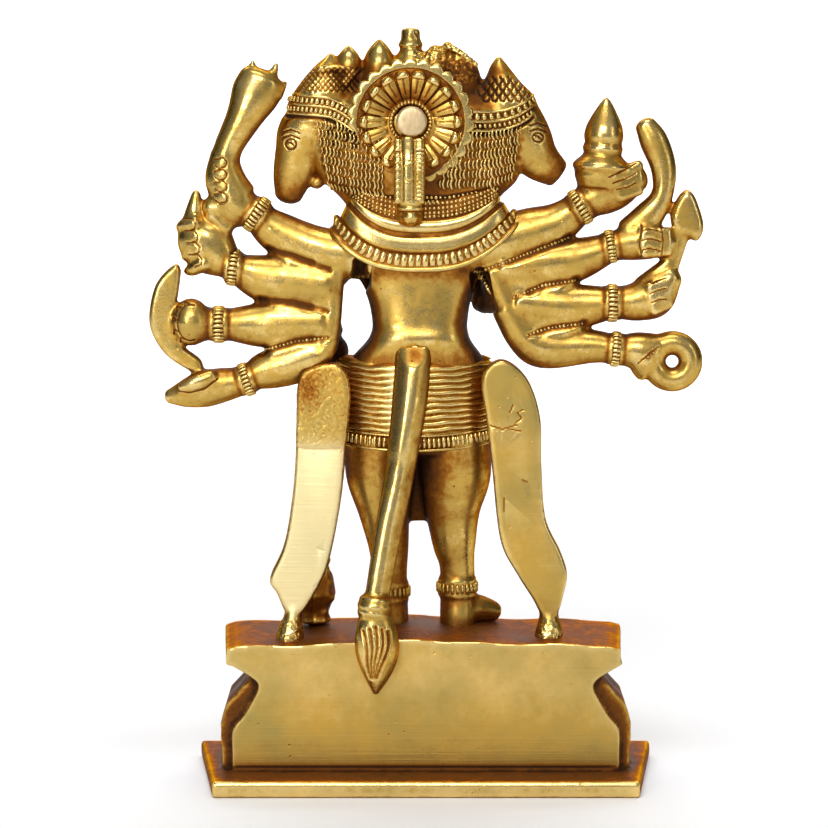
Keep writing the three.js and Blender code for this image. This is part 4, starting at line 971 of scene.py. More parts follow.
armY, handY = -3.5, -3.0
wrists = [  # place, axis, radius, length
    ([45.4, handY, 153.4], [0.8, 0, 0.55], 4.4, 4.4), ([51.8, handY, 139.2], [1, 0, 0.12], 4.3, 4.0),
    ([55.8, handY, 123.8], [1, 0, 0], 4.3, 4.6), ([48.5, handY, 108.9], [1, 0, -0.34], 3.9, 3.8),
    ([-41.4, handY, 155.4], [-0.85, 0, 0.53], 4.4, 3.8), ([-49.6, handY, 144.8], [-1, 0, 0.16], 3.8, 3.6),
    ([-50.2, handY, 129.6], [-1, 0, 0], 4.4, 4.0), ([-51.2, handY, 117.1], [-1, 0, -0.08], 4.1, 3.6),
]


def fingers(first, last, count=4, thick=1.0):
    ridges = []
    for i in range(count):
        t = i / (count - 1)
        rows = [[a + (b - a) * t for a, b in zip(p, q)] for p, q in zip(first, last)]
        ridges.append(limb([[*r[:3], r[3] * thick, r[4] * thick] for r in rows], sides=14))
    return ridges


# Where the arms of one side run together: a web that lies a little lower than they do.
webs = [
    [(20, 147), (30, 148), (38, 147.6), (41.4, 143.6), (38.5, 139.4), (43.2, 130.6), (39.5, 126.6), (43.2, 116.6), (39.5, 113.4),
     (33, 111), (27.4, 112), (25, 115.6), (23.9, 123.7), (22.6, 138.2)],
    [(-10, 144), (-20, 150), (-30, 151.6), (-37.6, 147.4), (-34.4, 143.6), (-40.6, 135.8), (-37.4, 132), (-42.8, 123.8), (-38.4, 119.6),
     (-33.4, 114.6), (-28, 116.4), (-23.4, 122.4), (-20.5, 126), (-15.6, 136)],
]


# The rounded rims along the waist side of the two fans.
fanRims = [[(20.6, 144), (24.2, 138.4), (25.2, 131), (25.8, 123.6), (27.2, 117), (31.4, 113)],
           [(-15, 145), (-17.6, 139.4), (-20.2, 132.6), (-23.4, 126.6), (-27.4, 120.6), (-31.6, 116.8)]]


# Shallow seams that run on from the gaps between the arms.
seams = [
    [(42.4, 144), (36, 142.4), (26, 138.8)], [(44.6, 130.4), (36, 129.8), (26.6, 127.8)], [(44.4, 116.6), (35, 119.4), (26.4, 120.4)],
    [(-38.6, 147.2), (-28, 143.2), (-16.4, 138.8)], [(-40.4, 135.8), (-32, 134.6), (-24.0, 131.4)], [(-42.4, 124.2), (-34, 123.2), (-27.6, 121.2)],
]


def handLines():
    strokes = []
    for i in range(4):  # loops of the fingers round the flask
        z = 168.2 - 3.1 * i
        strokes.append([(56.6, z), (54.2, z + 0.5), (53.0, z - 0.6), (53.4, z - 1.9), (55.2, z - 2.4), (56.4, z - 1.6)])
    for i in range(4):  # fist with its thumb up
        x, z = 61.4 - 0.5 * i, 151.6 - 3.2 * i
        strokes.append([(x + 3.6, z + 0.8), (x + 1.2, z + 0.9), (x, z - 0.4), (x + 0.3, z - 1.8), (x + 2.0, z - 2.4)])
    ringAt = [(63.2 + 3.5 * math.cos(a), 124.6 + 5.0 * math.sin(a)) for a in np.linspace(-1.9, 1.9, 12)]
    strokes.append(ringAt)
    for i in range(5):  # short loops of the fist on the crescent blade
        x, z = ringAt[2 + 2 * i if i < 5 else -1]
        strokes.append([(x, z), (x + 1.5, z + 0.5), (x + 1.6, z - 0.8)])
    strokes.append([(56, 109.4), (59.5, 106.6), (63.4, 105.6), (66.6, 106.0)])
    for i in range(3):  # fingers under the pot
        strokes.append([(-48.6 - 1.2 * i, 163.6 - 1.7 * i), (-52.6 - 0.8 * i, 165.2 - 2.1 * i), (-56.0, 167.2 - 2.6 * i)])
    for i in range(3):  # fingers on the blade's grip
        z = 149.2 - 2.6 * i
        strokes.append([(-57.6, z), (-59.4, z + 0.5), (-61.4, z + 0.2), (-63.0, z - 0.4)])
    strokes += [[(-57.6, 150.8), (-57.0, 146), (-57.6, 142)], [(-63.0, 150.4), (-63.4, 146.4), (-63.0, 142.6)]]
    for i in range(3):  # fingers on the mace
        strokes.append([(-59.6 - 0.4 * i, 134.8 - 2.4 * i), (-62.0, 135.9 - 2.6 * i), (-64.4, 136.6 - 2.8 * i)])
    for i in range(4):  # fingers closed in the ring
        strokes.append([(-57.0 - 0.9 * i, 113.6 + 0.9 * i), (-58.6 - 0.9 * i, 114.9 + 0.8 * i), (-60.4 - 0.6 * i, 115.2 + 0.9 * i)])
    return strokes


def buildArms():
    parts = [plate(web, 0.7, 8.4, bevel=2.2) for web in webs] + [
        limb([[16, armY, 141.4, 6, 5.4], [21.6, armY, 142.4, 6.5, 5.6], [31, armY, 144, 6.8, 5.2], [40, armY, 148.6, 5.8, 4.6], [45.5, handY, 153, 4.1, 4]]),
        limb([[27, armY, 134.4, 6.4, 5.4], [38, armY, 135.2, 7.2, 5.2], [44.4, armY, 136.4, 6.4, 4.8], [51, handY, 138.8, 4.2, 4]]),
        limb([[28, armY, 124.2, 6.2, 5.2], [40, armY, 124, 6.6, 5], [45.6, armY, 123.6, 6, 4.6], [54, handY, 123.8, 4.2, 4]], start=0.3),
        limb([[29.4, armY, 115.6, 5.2, 5.0], [36, armY, 113.2, 5.8, 4.9], [43.4, armY, 111.2, 5.2, 4.4], [47, handY, 109.6, 3.9, 3.9]], start=0.3),
        limb([[-12, armY, 143, 6, 5.4], [-16, armY, 144.6, 6.6, 5.6], [-27, armY, 148, 7, 5.2], [-35, armY, 150.8, 5.8, 4.6], [-41.6, handY, 155.4, 4.3, 4]]),
        limb([[-21, armY, 139.4, 6.2, 5.4], [-32, armY, 140, 7.2, 5.2], [-41, armY, 141.4, 5.9, 4.8], [-49.6, handY, 144.6, 4, 3.9]]),
        limb([[-24.6, armY, 129.8, 6, 5.2], [-36, armY, 128.6, 6.2, 5], [-43, armY, 128.8, 5.8, 4.6], [-50, handY, 129.6, 4.4, 4.2]], start=0.3),
        limb([[-21.4, armY, 128.4, 4, 5], [-26.4, armY, 120.6, 4.9, 5], [-32, armY, 117.6, 5.9, 4.8], [-45, armY, 117.8, 4.6, 4.4],
              [-51, handY, 117, 3.9, 4]], start=0.3),
    ]
    for rim in fanRims:
        parts.append(limb([[x, 0.4 * armY, z, 3.0, 2.7] for x, z in rim]))
    for at, axis, radius, length in wrists:
        h = length / 2
        parts.append(turned([[0, -h], [radius, -h], [radius + 0.5, 0.3 - h], [radius + 0.2, 0.8 - h], [radius + 0.2, h - 0.8],
                             [radius + 0.5, h - 0.3], [radius, h], [0, h]], at, axis))
    # flask with three prongs, upper left
    parts.append(limb([[46.6, handY, 154, 4.2, 4], [51, handY, 156.6, 6.6, 4.7], [53.6, handY, 164, 4.9, 4.3], [53.2, handY, 170.4, 3.9, 4],
                       [48.8, handY, 179, 4.9, 4.4], [45.6, handY, 185.4, 6.6, 4.4], [43.8, handY, 189.4, 6.2, 4]]))
    parts.append(limb([[50, handY, 155, 4.4, 4.2], [58, handY, 155.4, 2.8, 3.4]]))
    for (x0, z0), (x1, z1) in (((46.8, 188), (46.2, 194.2)), ((42.2, 187.6), (39.8, 193.6)), ((40, 186), (37.4, 188.6))):
        parts.append(limb([[x0, handY, z0, 2.4, 2.6], [x1, handY, z1, 0.6, 0.9]]))
    parts.append(limb([[52.4, handY, 158, 5.2, 4.4], [54.6, handY, 163, 4.7, 4.1], [54.4, handY, 169.4, 3.4, 3.7]]))
    # fist with its thumb up
    parts.append(limb([[52.6, handY, 139.6, 4, 3.9], [57, handY, 143.4, 7, 4.6], [60.8, handY, 147.6, 6.6, 4.6], [62.2, handY, 153, 3, 3],
                       [61.6, handY, 159.2, 1.2, 1.3]]))
    parts += fingers([[61.4, 0.2, 151.2, 2.2, 1.7], [64.6, -1.8, 150.6, 1.9, 2.0], [66.0, -3.4, 150, 1.3, 1.6]],
                     [[59.4, 0.4, 140.6, 2.2, 1.8], [62.4, -1.8, 138.8, 1.9, 2.0], [64.0, -3.4, 138.2, 1.3, 1.6]])
    parts.append(limb([[53.4, handY, 149.6, 2.4, 3.4], [57.4, handY, 153.6, 2.6, 3.4]]))
    # round fist on a crescent blade
    parts.append(limb([[57.6, handY, 123.8, 4.2, 4], [60.6, handY, 124, 5.2, 4.5]]))
    parts.append(lump([63.2, -2.2, 124.5], [5.4, 4.9, 6.5]))
    parts.append(plate([[66, 138.4], [67.6, 140], [72.6, 134.8], [74.6, 126], [73.2, 120], [69, 114.6], [61.4, 110.4],
                        [60.6, 114], [66.4, 119.0], [67.6, 126], [66.6, 132.6]], -0.9, 4.3, bevel=1.1))
    # open hand with the thumb laid over
    parts.append(limb([[49.4, handY, 108.4, 3.8, 3.6], [54.6, handY, 107.4, 4.7, 4], [60, handY, 106.3, 5.1, 3.8], [65, handY, 105, 3.9, 3.1],
                       [69.4, handY, 104.2, 2, 1.9]]))
    parts.append(limb([[57.6, -0.4, 110, 2.2, 1.9], [62, 0.6, 108.2, 2.3, 1.7], [65.8, 0, 107, 1.5, 1.4]]))
    # pot with a pointed lid, upper right
    parts.append(limb([[-42.6, handY, 156.4, 4.3, 4.1], [-47, handY, 158.8, 5.8, 4.7], [-51.6, handY, 161, 5.8, 4.7], [-56.8, handY, 163.4, 3.8, 3.6]]))
    parts.append(turned([[0, -4], [6, -4], [7.2, -0.8], [7.0, 0.2], [7.4, 0.8], [8, 1.4], [7.8, 2.2], [6.6, 3.4], [5.0, 4.8], [5.0, 5.6], [5.6, 6.2],
                         [5.4, 7.0], [4.8, 7.6], [5.2, 8.6], [5.4, 10], [4.9, 12.4], [3.6, 15.2], [2.0, 18], [0.7, 20], [0, 20.4]],
                        [-46.9, handY, 164.6], [-0.07, 0, 1], sides=48))
    parts += fingers([[-49.6, 0.6, 163.8, 1.6, 1.4], [-57, -1, 166.6, 1.6, 1.6]], [[-51.6, 0.6, 158.2, 1.6, 1.4], [-57.2, -1, 160, 1.5, 1.6]])
    # curved blade
    parts.append(limb([[-50, handY, 145, 3.9, 3.8], [-55.6, handY, 145.8, 4.8, 4.4], [-60.6, handY, 146.2, 4.8, 4.4], [-65, handY, 146, 3.6, 3.6]]))
    parts.append(limb([[-54.6, handY, 148.6, 4, 3.2], [-59.6, handY, 152.8, 4.2, 3.2], [-63.4, handY, 158.8, 3, 2.8], [-63.6, handY, 166, 3.5, 2.8],
                       [-61, handY, 173, 3.9, 2.8], [-58.6, handY, 177.4, 2.9, 2.2]], end=0.75))
    parts += fingers([[-58.6, 0.2, 149.4, 1.7, 1.6], [-58.6, 0.4, 142.8, 1.7, 1.6]], [[-64.6, -0.8, 149.2, 1.5, 1.6], [-64.6, -0.8, 143.2, 1.5, 1.6]])
    # small mace
    parts.append(limb([[-51.8, handY, 129.6, 4.4, 4.2], [-57, handY, 130, 5.4, 4.7], [-61.6, handY, 132, 6.2, 4.7], [-66, handY, 136.6, 3.4, 3.6]]))
    parts.append(limb([[-63.4, handY, 132, 2.6, 2.6], [-66.2, handY, 139, 1.8, 2], [-69, handY, 149, 2.2, 2]]))
    parts.append(limb([[-58, handY, 134.6, 2.2, 2.4], [-65.4, handY, 140.4, 2, 2.2]]))
    parts.append(plate([[-69.6, 160], [-67.2, 157.4], [-65.6, 152.4], [-67.2, 148.2], [-70.0, 147.6], [-72.8, 146.2], [-74.6, 150.0], [-73.2, 155.6],
                        [-71.6, 159]], -0.6, 5.0, bevel=1.6))
    parts += fingers([[-60, 0.8, 134.6, 1.4, 1.4], [-61.4, 0.8, 127.4, 1.4, 1.4]], [[-65, -0.4, 135, 1.3, 1.4], [-65.2, -0.6, 129, 1.3, 1.4]])
    # fingers and noose closed in a ring
    parts.append(limb([[-52.6, handY, 116.8, 4, 3.9], [-56.6, handY, 116.6, 5.3, 4.5], [-60.4, handY, 115, 7, 4.4]]))
    angle = np.linspace(0, 2 * math.pi, 48, endpoint=False)
    tube = np.linspace(0, 2 * math.pi, 18, endpoint=False)
    parts.append(skin([[[-66.5 + (5 + 3.3 * math.cos(t)) * math.cos(a), handY + 3.3 * math.sin(t), 113.8 + (5 + 3.3 * math.cos(t)) * math.sin(a)]
                        for t in tube] for a in angle], loop=True))
    base = asClay(fuse("base", parts, 0.5, 5))
    trim = []
    for index, (at, axis, radius, length) in enumerate(wrists):
        path, out = ringPath(at, axis, radius + 0.2)
        trim.append(row("block", path, out, 24, (0.46, length * 0.34, 0.6), closed=True, seed=20 + index))
    obj = fuse("idol_arms", [base], 0.36, 2)
    carve(obj, handLines(), 0.3, 0.2, facing=0.2, dirtAndShade=0.5)
    carve(obj, seams, 1.1, 0.3, facing=0.3, dirtAndShade=0.25)
    carve(obj, [seam[:2] + [tuple((np.array(seam[1]) + seam[2]) / 2)] for seam in seams], 1.9, 0.35, facing=0.3, dirtAndShade=0.22)
    tree = surfaceTree(obj)
    for index, seam in enumerate(seams[2:]):
        path, out = drape(tree, [(x + 0.4, z) for x, z in seam], 0.02)
        span = np.linalg.norm(np.diff(path, axis=0), axis=1).sum()
        trim.append(row("bead", path, out, int(span / 0.95), (0.42, 0.4, 0.3), jitter=0.45, seed=40 + index, dirtAndShade=0.2))
    # The same hollows on the arms, filled with near-black painted shade.
    for hollow in waistHollows:
        carve(obj, [hollow], 2.6, 3.0, facing=-0.2, yRange=(-9, 8), dirtAndShade=1.1)
    co = coordinates(obj.data)
    for at, axis, radius, length in wrists:
        away = co - at
        along = away @ unit(np.array(axis, float))
        reach = np.linalg.norm(away - along[:, None] * unit(np.array(axis, float)), axis=1)
        soilAndShade(obj, (reach < radius + 1.2) * (0.75 * (np.abs(along) < length / 2 - 0.75) + 0.35 * np.exp(-((np.abs(along) - length / 2 - 0.5) / 0.6) ** 2)))
    return obj, trim


# Heads and crowns

crownLook = {  # each crown's outline: centre x, height, half width, from the foot up
    "left": [(27.0, 180, 10.4), (27.2, 183, 10.0), (27.0, 187, 7.8), (26.6, 190, 5.9), (26.0, 193, 3.8), (25.4, 195.9, 0.9)],
    "knobLeft": [(21.6, 182, 5.2), (21.2, 187, 4.2), (20.9, 190, 3.6), (20.7, 192.4, 3.7), (20.7, 194.4, 3.4), (20.7, 196.4, 2.4), (20.7, 198, 0.8)],
    "knobRight": [(13.0, 182, 6.4), (12.8, 188, 5.2), (12.6, 191, 4.4), (12.5, 194, 4.3), (12.5, 196.4, 3.5), (12.5, 198.4, 2.1), (12.5, 199.8, 0.7)],
    "middle": [(3.8, 182, 8.6), (3.9, 190, 7.2), (4.0, 194, 5.2), (4.1, 196.4, 3.4), (4.1, 198.4, 2.5), (4.1, 200.4, 2.3), (4.1, 201.6, 2.4)],
    "gap": [(-1.8, 182, 6.6), (-1.8, 190, 5.6), (-1.9, 194, 4.4), (-2.1, 196.2, 3.4), (-2.6, 197.2, 2.0)],
    "broken": [(-6.6, 182, 6.0), (-8.2, 188, 6.4), (-8.5, 191.6, 5.8), (-8.0, 194.2, 4.8), (-6.9, 196.8, 3.1), (-5.8, 198.7, 1.2)],
    "right": [(-21.2, 178, 9.0), (-21.2, 182, 8.8), (-21.2, 185, 7.9), (-20.6, 188, 5.6), (-20.0, 191, 3.6), (-19.6, 193, 2.4), (-19.5, 195, 0.9)],
}


def crown(outline):
    return limb([[x, -5.4, z, half, min(7.0, 0.5 + 1.05 * half)] for x, z, half in outline], sides=32, level=True)


def animalFace(x, y, z, tilt):
    parts = []
    for side in (-1, 1):
        parts.append(lump([x + side * 2.7, y, z + 1.2], [1.5, 0.8, 0.8], (0, side * 0.25, tilt)))
        parts.append(limb([[x + side * 1.0, y + 0.2, z + 2.4, 0.4, 0.5], [x + side * 3, y + 0.1, z + 3.2, 0.45, 0.6],
                           [x + side * 4.6, y + 0.8, z + 2.2, 0.35, 0.5]], sides=10))
    return parts


def hairPath(z, halfWidth, halfDepth, start, stop, lift=None):
    return ovalPath((3.0, -4.8, z), halfWidth, halfDepth, start, stop, steps=40, lift=lift, closed=False)


leftBand = [
    [(37.2, 184.3), (33.4, 184.0), (29.4, 183.7), (25.4, 183.2), (22.2, 181.6), (19.1, 179.5)],
    [(36.6, 181.8), (32.0, 181.5), (28.1, 181.1), (24.9, 180.3), (22.0, 178.9), (19.1, 176.9)],
]
rightBand = [
    [(-11.6, 179.5), (-16.9, 179.5), (-20.9, 180.0), (-24.3, 181.1), (-27.2, 182.7), (-28.6, 184.0)],
    [(-11.6, 177.1), (-17.4, 177.1), (-21.7, 177.7), (-25.4, 179.0), (-27.9, 180.6)],
]
hairRows = [([(29.4 - 0.5 * i, 177.6 - 2.35 * i), (22, 176.6 - 2.35 * i), (12, 175.0 - 2.3 * i)], 1.35) for i in range(8)]
hairRows += [([(-25.6 + 0.5 * i, 175.8 - 2.45 * i), (-17, 174.6 - 2.55 * i), (-9.5 + 1.1 * i, 174.6 - 2.55 * i)], 1.5) for i in range(6)]
grainRows = [[(20 - 0.6 * i, 159.4 - 1.3 * i), (10, 158.2 - 1.2 * i), (-6, 158.2 - 1.2 * i), (-19, 160.4 - 1.3 * i)] for i in range(2)]


# Painted shade between the crowns and beside the tassel: centre x and height, reach, how dark.
crownShade = [(-13.4, 182.4, 2.8, 0.55), (-7.6, 192.0, 3.6, 0.3), (-3.4, 163.4, 3.4, 0.4), (16.6, 187.6, 2.2, 0.25)]


def headLines():
    net, scales, locks, eyes = [], [], [], []
    for k in range(-3, 8):  # diamond net over the left crown
        net.append([(20.4 + 1.55 * k, 186.2), (25.8 + 1.55 * k, 192.4)])
        net.append([(26.6 + 1.55 * k, 186.2), (21.2 + 1.55 * k, 192.4)])
    for i in range(4):  # flame scales on the right crown
        for k in range(6):
            x, z = -16.0 - 2.2 * k + (1.1 if i % 2 else 0), 184.2 + 1.5 * i
            if x < -29 + (z - 183) * 0.85:
                continue
            scales.append([(x + 1.0, z + 0.9), (x + 0.6, z - 0.4), (x - 0.3, z - 0.6), (x - 1.0, z + 0.5), (x - 0.5, z + 1.4)])
    for cx, cz, r in ((21.4, 175.8, 2.6), (24.6, 174.4, 2.2), (19.6, 173.2, 1.9), (-13.6, 176.2, 1.8)):  # curled locks
        for size in (1.0, 0.66, 0.34):
            locks.append([(cx + r * size * math.cos(q), cz + r * size * math.sin(q)) for q in np.linspace(0.4, 4.9, 8)])
    for cx, cz, w, h in ((36.2, 172.2, 1.5, 1.4), (-30.0, 174.0, 1.5, 1.2)):  # eyes of the two side heads
        eyes.append([(cx + w * math.cos(q), cz + h * math.sin(q)) for q in np.linspace(0, 6.283, 13)])
        eyes.append([(cx - 0.8, cz - 0.3), (cx + 0.1, cz + 0.4), (cx + 0.9, cz + 0.5)])
        for lift in (2.4, 3.9):
            eyes.append([(cx - 2.3, cz + lift - 0.9), (cx, cz + lift), (cx + 2.3, cz + lift - 0.7)])
    return net, scales, locks, eyes


def buildHeads():
    parts = [
        limb([[1.4, -5.2, 154, 18.6, 7.8], [1.6, -5, 158.4, 22.0, 8.8], [1.8, -4.8, 163, 26.6, 9.8], [2.6, -4.8, 171, 29.0, 10.2],
              [3.4, -4.8, 180, 29.6, 9.6], [3.4, -4.8, 184, 27, 6.8], [3.0, -4.8, 188, 20, 4.2], [3.0, -4.8, 190, 12, 2.6]],
             sides=64, level=True, start=0.2, end=0.3),
        limb([[24, -6, 179, 7.4, 7], [31.6, -6.4, 175.8, 7.8, 6.4], [34.2, -6.6, 169.6, 6.5, 5], [36, -6.8, 163, 5.3, 4.1],
              [37, -7, 158.6, 3.9, 3.2]], sides=28, end=0.8),
        lump([29.4, -6.4, 161.8], [2, 2.4, 1.8]),
        limb([[-22, -6, 179.6, 8.6, 7], [-26.2, -6.2, 174, 7.6, 6.4], [-30.2, -6.4, 168.2, 6, 5], [-35.6, -6.8, 164, 3.9, 3]],
             sides=28, end=0.3),
        limb([[3.4, -9.0, 189, 4.2, 3.4], [3.4, -12.0, 184.6, 7.2, 5.4], [3.4, -14.4, 176, 8, 6], [3.4, -15.6, 169, 6.6, 5.8], [3.4, -15.2, 163.6, 3.8, 3.8]], level=True),
        limb([[3.4, -16, 169, 4.6, 4.4], [3.4, -21.4, 168.4, 3.4, 2.8]]),
        limb([[17.4, -8.4, 186, 3.8, 3.4], [17.6, -10.8, 181.4, 6.4, 5.8], [18.4, -12.4, 174, 6.8, 6.2], [18.8, -13.4, 166.6, 4.8, 4.8]], level=True),
        lump([20.6, -18, 170.6], [4, 3.6, 3.6]),
        limb([[-11.4, -8.4, 186, 3.8, 3.4], [-11.6, -10.8, 181.4, 6.2, 5.8], [-12.4, -12.4, 174, 6.4, 6], [-12.8, -13.2, 166.6, 4.6, 4.6]], level=True),
        limb([[-13.6, -16, 173.4, 2.6, 2.8], [-14.8, -20, 171.6, 1.7, 1.9], [-15, -21.4, 168.8, 0.6, 0.8]]),
        lump([11.8, -12.4, 175], [1.9, 1.6, 3]), lump([-5, -12.4, 175], [1.9, 1.6, 3]),
        turned([[0, -5], [3.6, -4.6], [2.6, -3], [2.6, -0.6], [2.3, -0.1], [0, 0]], [4.1, -5.2, 203], [0, 0, 1]),
        limb([[28.6, 0.6, 192.0, 0.9, 1.1], [24.4, 1.2, 192.6, 1.0, 1.2], [20.6, 1.2, 192.0, 0.9, 1.1]], sides=12),
        limb([[19.4, 1.6, 191.4, 1.3, 1.3], [21.6, 2.4, 188.6, 1.4, 1.4]], sides=12),
        limb([[-6, -1.4, 198.0, 0.9, 1.2], [-10, -0.6, 195.6, 1.0, 1.2], [-13.4, -0.6, 192.8, 0.8, 1.0]], sides=12),
    ]
    parts += [crown(outline) for outline in crownLook.values()]
    parts += animalFace(3.4, -20.0, 174, 0) + animalFace(18.4, -17.8, 174.6, 0) + animalFace(-12.4, -17.6, 175, 0)
    base = asClay(fuse("base", parts, 0.5, 3))
    obj = fuse("idol_heads", [base], 0.36, 1)
    tree = surfaceTree(obj)
    trim = []
    for lines, kinds in ((leftBand, (("block", 0.58, 0.78), ("block", 0.55, 0.72))), (rightBand, (("bead", 0.78, 0.95), ("bead", 0.56, 0.66)))):
        for index, (line, (kind, length, height)) in enumerate(zip(lines, kinds)):
            path, out = drape(tree, line, 0.15)
            span = np.linalg.norm(np.diff(path, axis=0), axis=1).sum()
            trim.append(row(kind, path, out, int(span / (2.15 * length)), (length, height, 0.55), seed=30 + index))
        for shift in (1.25, -1.25, -3.7):
            line = [(x, z + shift) for x, z in lines[0]]
            trim.append(loose(cord(tree, line, 0.36, 0.1), 0.2))
        carve(obj, [[(x, z + shift) for x, z in lines[0]] for shift in (0, -2.5)], 1.15, 0.1, facing=-0.2, dirtAndShade=0.8)
        carve(obj, [[(x, z - 4.6) for x, z in lines[0]]], 0.8, 0.5, facing=-0.2, dirtAndShade=0.7)
    for index, (line, tall) in enumerate(hairRows):
        path, out = drape(tree, line, 0.1)
        span = np.linalg.norm(np.diff(path, axis=0), axis=1).sum()
        trim.append(row("lock", path, out, int(span / 1.02), (0.33, tall, 0.42), jitter=0.3, seed=60 + index, dirtAndShade=0.07))
        carve(obj, [line], tall * 1.1, 0.12, facing=-0.2, dirtAndShade=0.28)
    for index, line in enumerate(grainRows):
        path, out = drape(tree, line, 0.05)
        span = np.linalg.norm(np.diff(path, axis=0), axis=1).sum()
        trim.append(row("bead", path, out, int(span / 1.15), (0.5, 0.5, 0.45), jitter=0.3, seed=80 + index))
        carve(obj, [line], 0.9, 0.1, facing=-0.2, dirtAndShade=0.7)
    net, scales, locks, eyes = headLines()
    carve(obj, net, 0.36, 0.26, facing=0.0, yRange=(-6, 20), dirtAndShade=0.24)
    carve(obj, scales, 0.42, 0.34, facing=-0.1, yRange=(-8, 20), dirtAndShade=0.45)
    carve(obj, locks, 0.42, 0.45, facing=0.0, yRange=(-6, 20))
    carve(obj, eyes, 0.34, 0.34, facing=0.2, yRange=(-12, 20))
    carve(obj, [[(0.9, 167.0), (3.4, 166.2), (5.9, 167.0)]], 0.5, 0.4, facing=-1.1, yRange=(-30, -17), dirtAndShade=0.4)
    roughen(obj, lambda co, n: (co[:, 0] > -14) * (co[:, 0] < 3) * (co[:, 1] > -4) * smoothStep((co[:, 2] - 187) / 3), 0.36, 0.85)
    co = coordinates(obj.data)
    behind = smoothStep((co[:, 1] + 7) / 5)
    betweenShade = smoothStep((26 - np.abs(co[:, 0] - 2)) / 5) * smoothStep((co[:, 2] - 183) / 3) * smoothStep((196 - co[:, 2]) / 4) * behind
    shade = 0.0
    for x, z, reach, depth in crownShade:
        shade = shade + depth * np.exp(-((co[:, 0] - x) ** 2 + (co[:, 2] - z) ** 2) / (2 * reach ** 2)) * behind
    nape = (np.abs(co[:, 0] - 2) < 26) * smoothStep((179 - co[:, 2]) / 4) * (co[:, 1] > -1)
    muzzle = smoothStep((co[:, 0] - 30) / 4) * smoothStep((166 - co[:, 2]) / 6) + smoothStep((-31 - co[:, 0]) / 4)
    # A little dirt overall, painted shade between the crowns and at the listed places, darker hair at the nape and
    # darker side-head muzzles.
    soilAndShade(obj, 0.05 + 0.42 * betweenShade + 0.3 * nape + 0.16 * muzzle + shade)
    return obj, trim


# Wheel behind the heads, and its tassel

wheelLook = {"centre": (4.1, 178.2), "petals": 18, "scallops": 27, "rim": 17.2, "dish": 13.7, "wornAt": 2.5}


def wheelPoint(radius, angle, y):
    cx, cz = wheelLook["centre"]
    return [cx + radius * math.sin(angle), y, cz + radius * math.cos(angle)]


# How far the wheel's face stands back at a radius and angle, and how much dirt and painted shade it has there.
def wheelRelief(radius, angle):
    w = wheelLook
    u = ((angle * w["petals"] / (2 * math.pi)) % 1.0 - 0.5) * 2  # -1 to 1 across one petal
    if radius < 4.5:
        return 4.6, 1.15
    if radius < 5.9:
        tick = abs(math.sin(angle * 17))
        ring = math.sin(math.pi * (radius - 4.5) / 1.4) ** 0.5
        return 6.2 + 0.95 * ring - 0.3 * (1 - tick), 0.9 - 0.75 * ring * tick
    if radius < w["dish"]:
        end = w["dish"] - 1.3 * abs(u) ** 3
        t = (radius - 5.9) / (end - 5.9)
        if t > 1:
            return 4.5, 1.0
        side = max(0.0, 1 - ((1 - abs(u)) / 0.16) ** 2) if abs(u) > 0.84 else 0.0
        inner = max(0.0, 1 - (abs(u) / 0.16) ** 2) * (0.2 < t < 0.72)
        swell = math.sin(math.pi * min(1.0, t)) ** 0.6
        bead = max(0.0, 1 - (u / 0.84) ** 2 - ((t - 0.86) / 0.16) ** 2)
        rounded = max(0.0, 1 - max(0.0, (t - 0.86) / 0.14) ** 2)
        y = 4.7 + 1.0 * t + (0.35 + 0.4 * (1 - u * u)) * swell - 1.0 * side - 0.3 * inner + 0.95 * bead ** 0.5 - 0.7 * (1 - rounded)
        # Painted shadow on the inner ends of the upper petals.
        above = max(0.0, math.cos(angle)) ** 0.6
        dirtAndShade = 0.34 + 0.4 * max(side, 0.7 * inner) + 0.62 * above * (1 - t) - 0.36 * bead ** 0.5 + 0.3 * (1 - rounded)
        return y, dirtAndShade
    return 4.5 + (0.5 if radius > w["dish"] + 0.5 else -0.1), 0.95 if radius < w["dish"] + 0.55 else 0.22


def wheelNet():
    w = wheelLook
    sides = 540
    angles = np.linspace(0, 2 * math.pi, sides, endpoint=False)
    bumps = np.abs(np.cos(angles * w["scallops"] / 2)) ** 0.8
    bumps *= 0.82 + 0.18 * np.sin(angles * 7 + 1) * np.sin(angles * 3)
    edge = w["rim"] - 1.5 + 1.5 * bumps
    worn = smoothStep((0.95 - np.abs(angles - w["wornAt"])) / 0.3)  # the hair covers the rim here
    edge = edge * (1 - worn) + (w["dish"] + 0.9) * worn
    rings, dirtAndShade = [], []
    for radius in list(np.linspace(4.1, 5.9, 9)) + list(np.linspace(6.1, w["dish"], 34)) + [w["dish"] + d for d in (0.25, 0.5, 0.65)]:
        relief = [wheelRelief(radius, a) for a in angles]
        rings.append([wheelPoint(radius, a, y) for a, (y, _) in zip(angles, relief)])
        dirtAndShade.append([d for _, d in relief])
    start = w["dish"] + 0.8
    for t, y, d in ((0.0, 5.0, 0.3), (0.35, 5.05, 0.12), (0.8, 4.95, 0.12), (0.94, 4.7, 0.2), (1.0, 4.2, 0.35), (1.0, 1.6, 0.7), (0.93, 1.2, 0.8)):
        rings.append([wheelPoint(start + (e - start) * t, a, y) for a, e in zip(angles, edge)])
        dirtAndShade.append([d + 0.25 * (1 - b) * (t > 0.7) for b in bumps])
    for radius, y in ((10, 1.2), (4.1, 1.2)):
        rings.append([wheelPoint(radius, a, y) for a in angles])
        dirtAndShade.append([0.9] * sides)
    points, faces = skin(np.array(rings).transpose(1, 0, 2), loop=True)
    return points, faces, np.array(dirtAndShade).T.ravel()


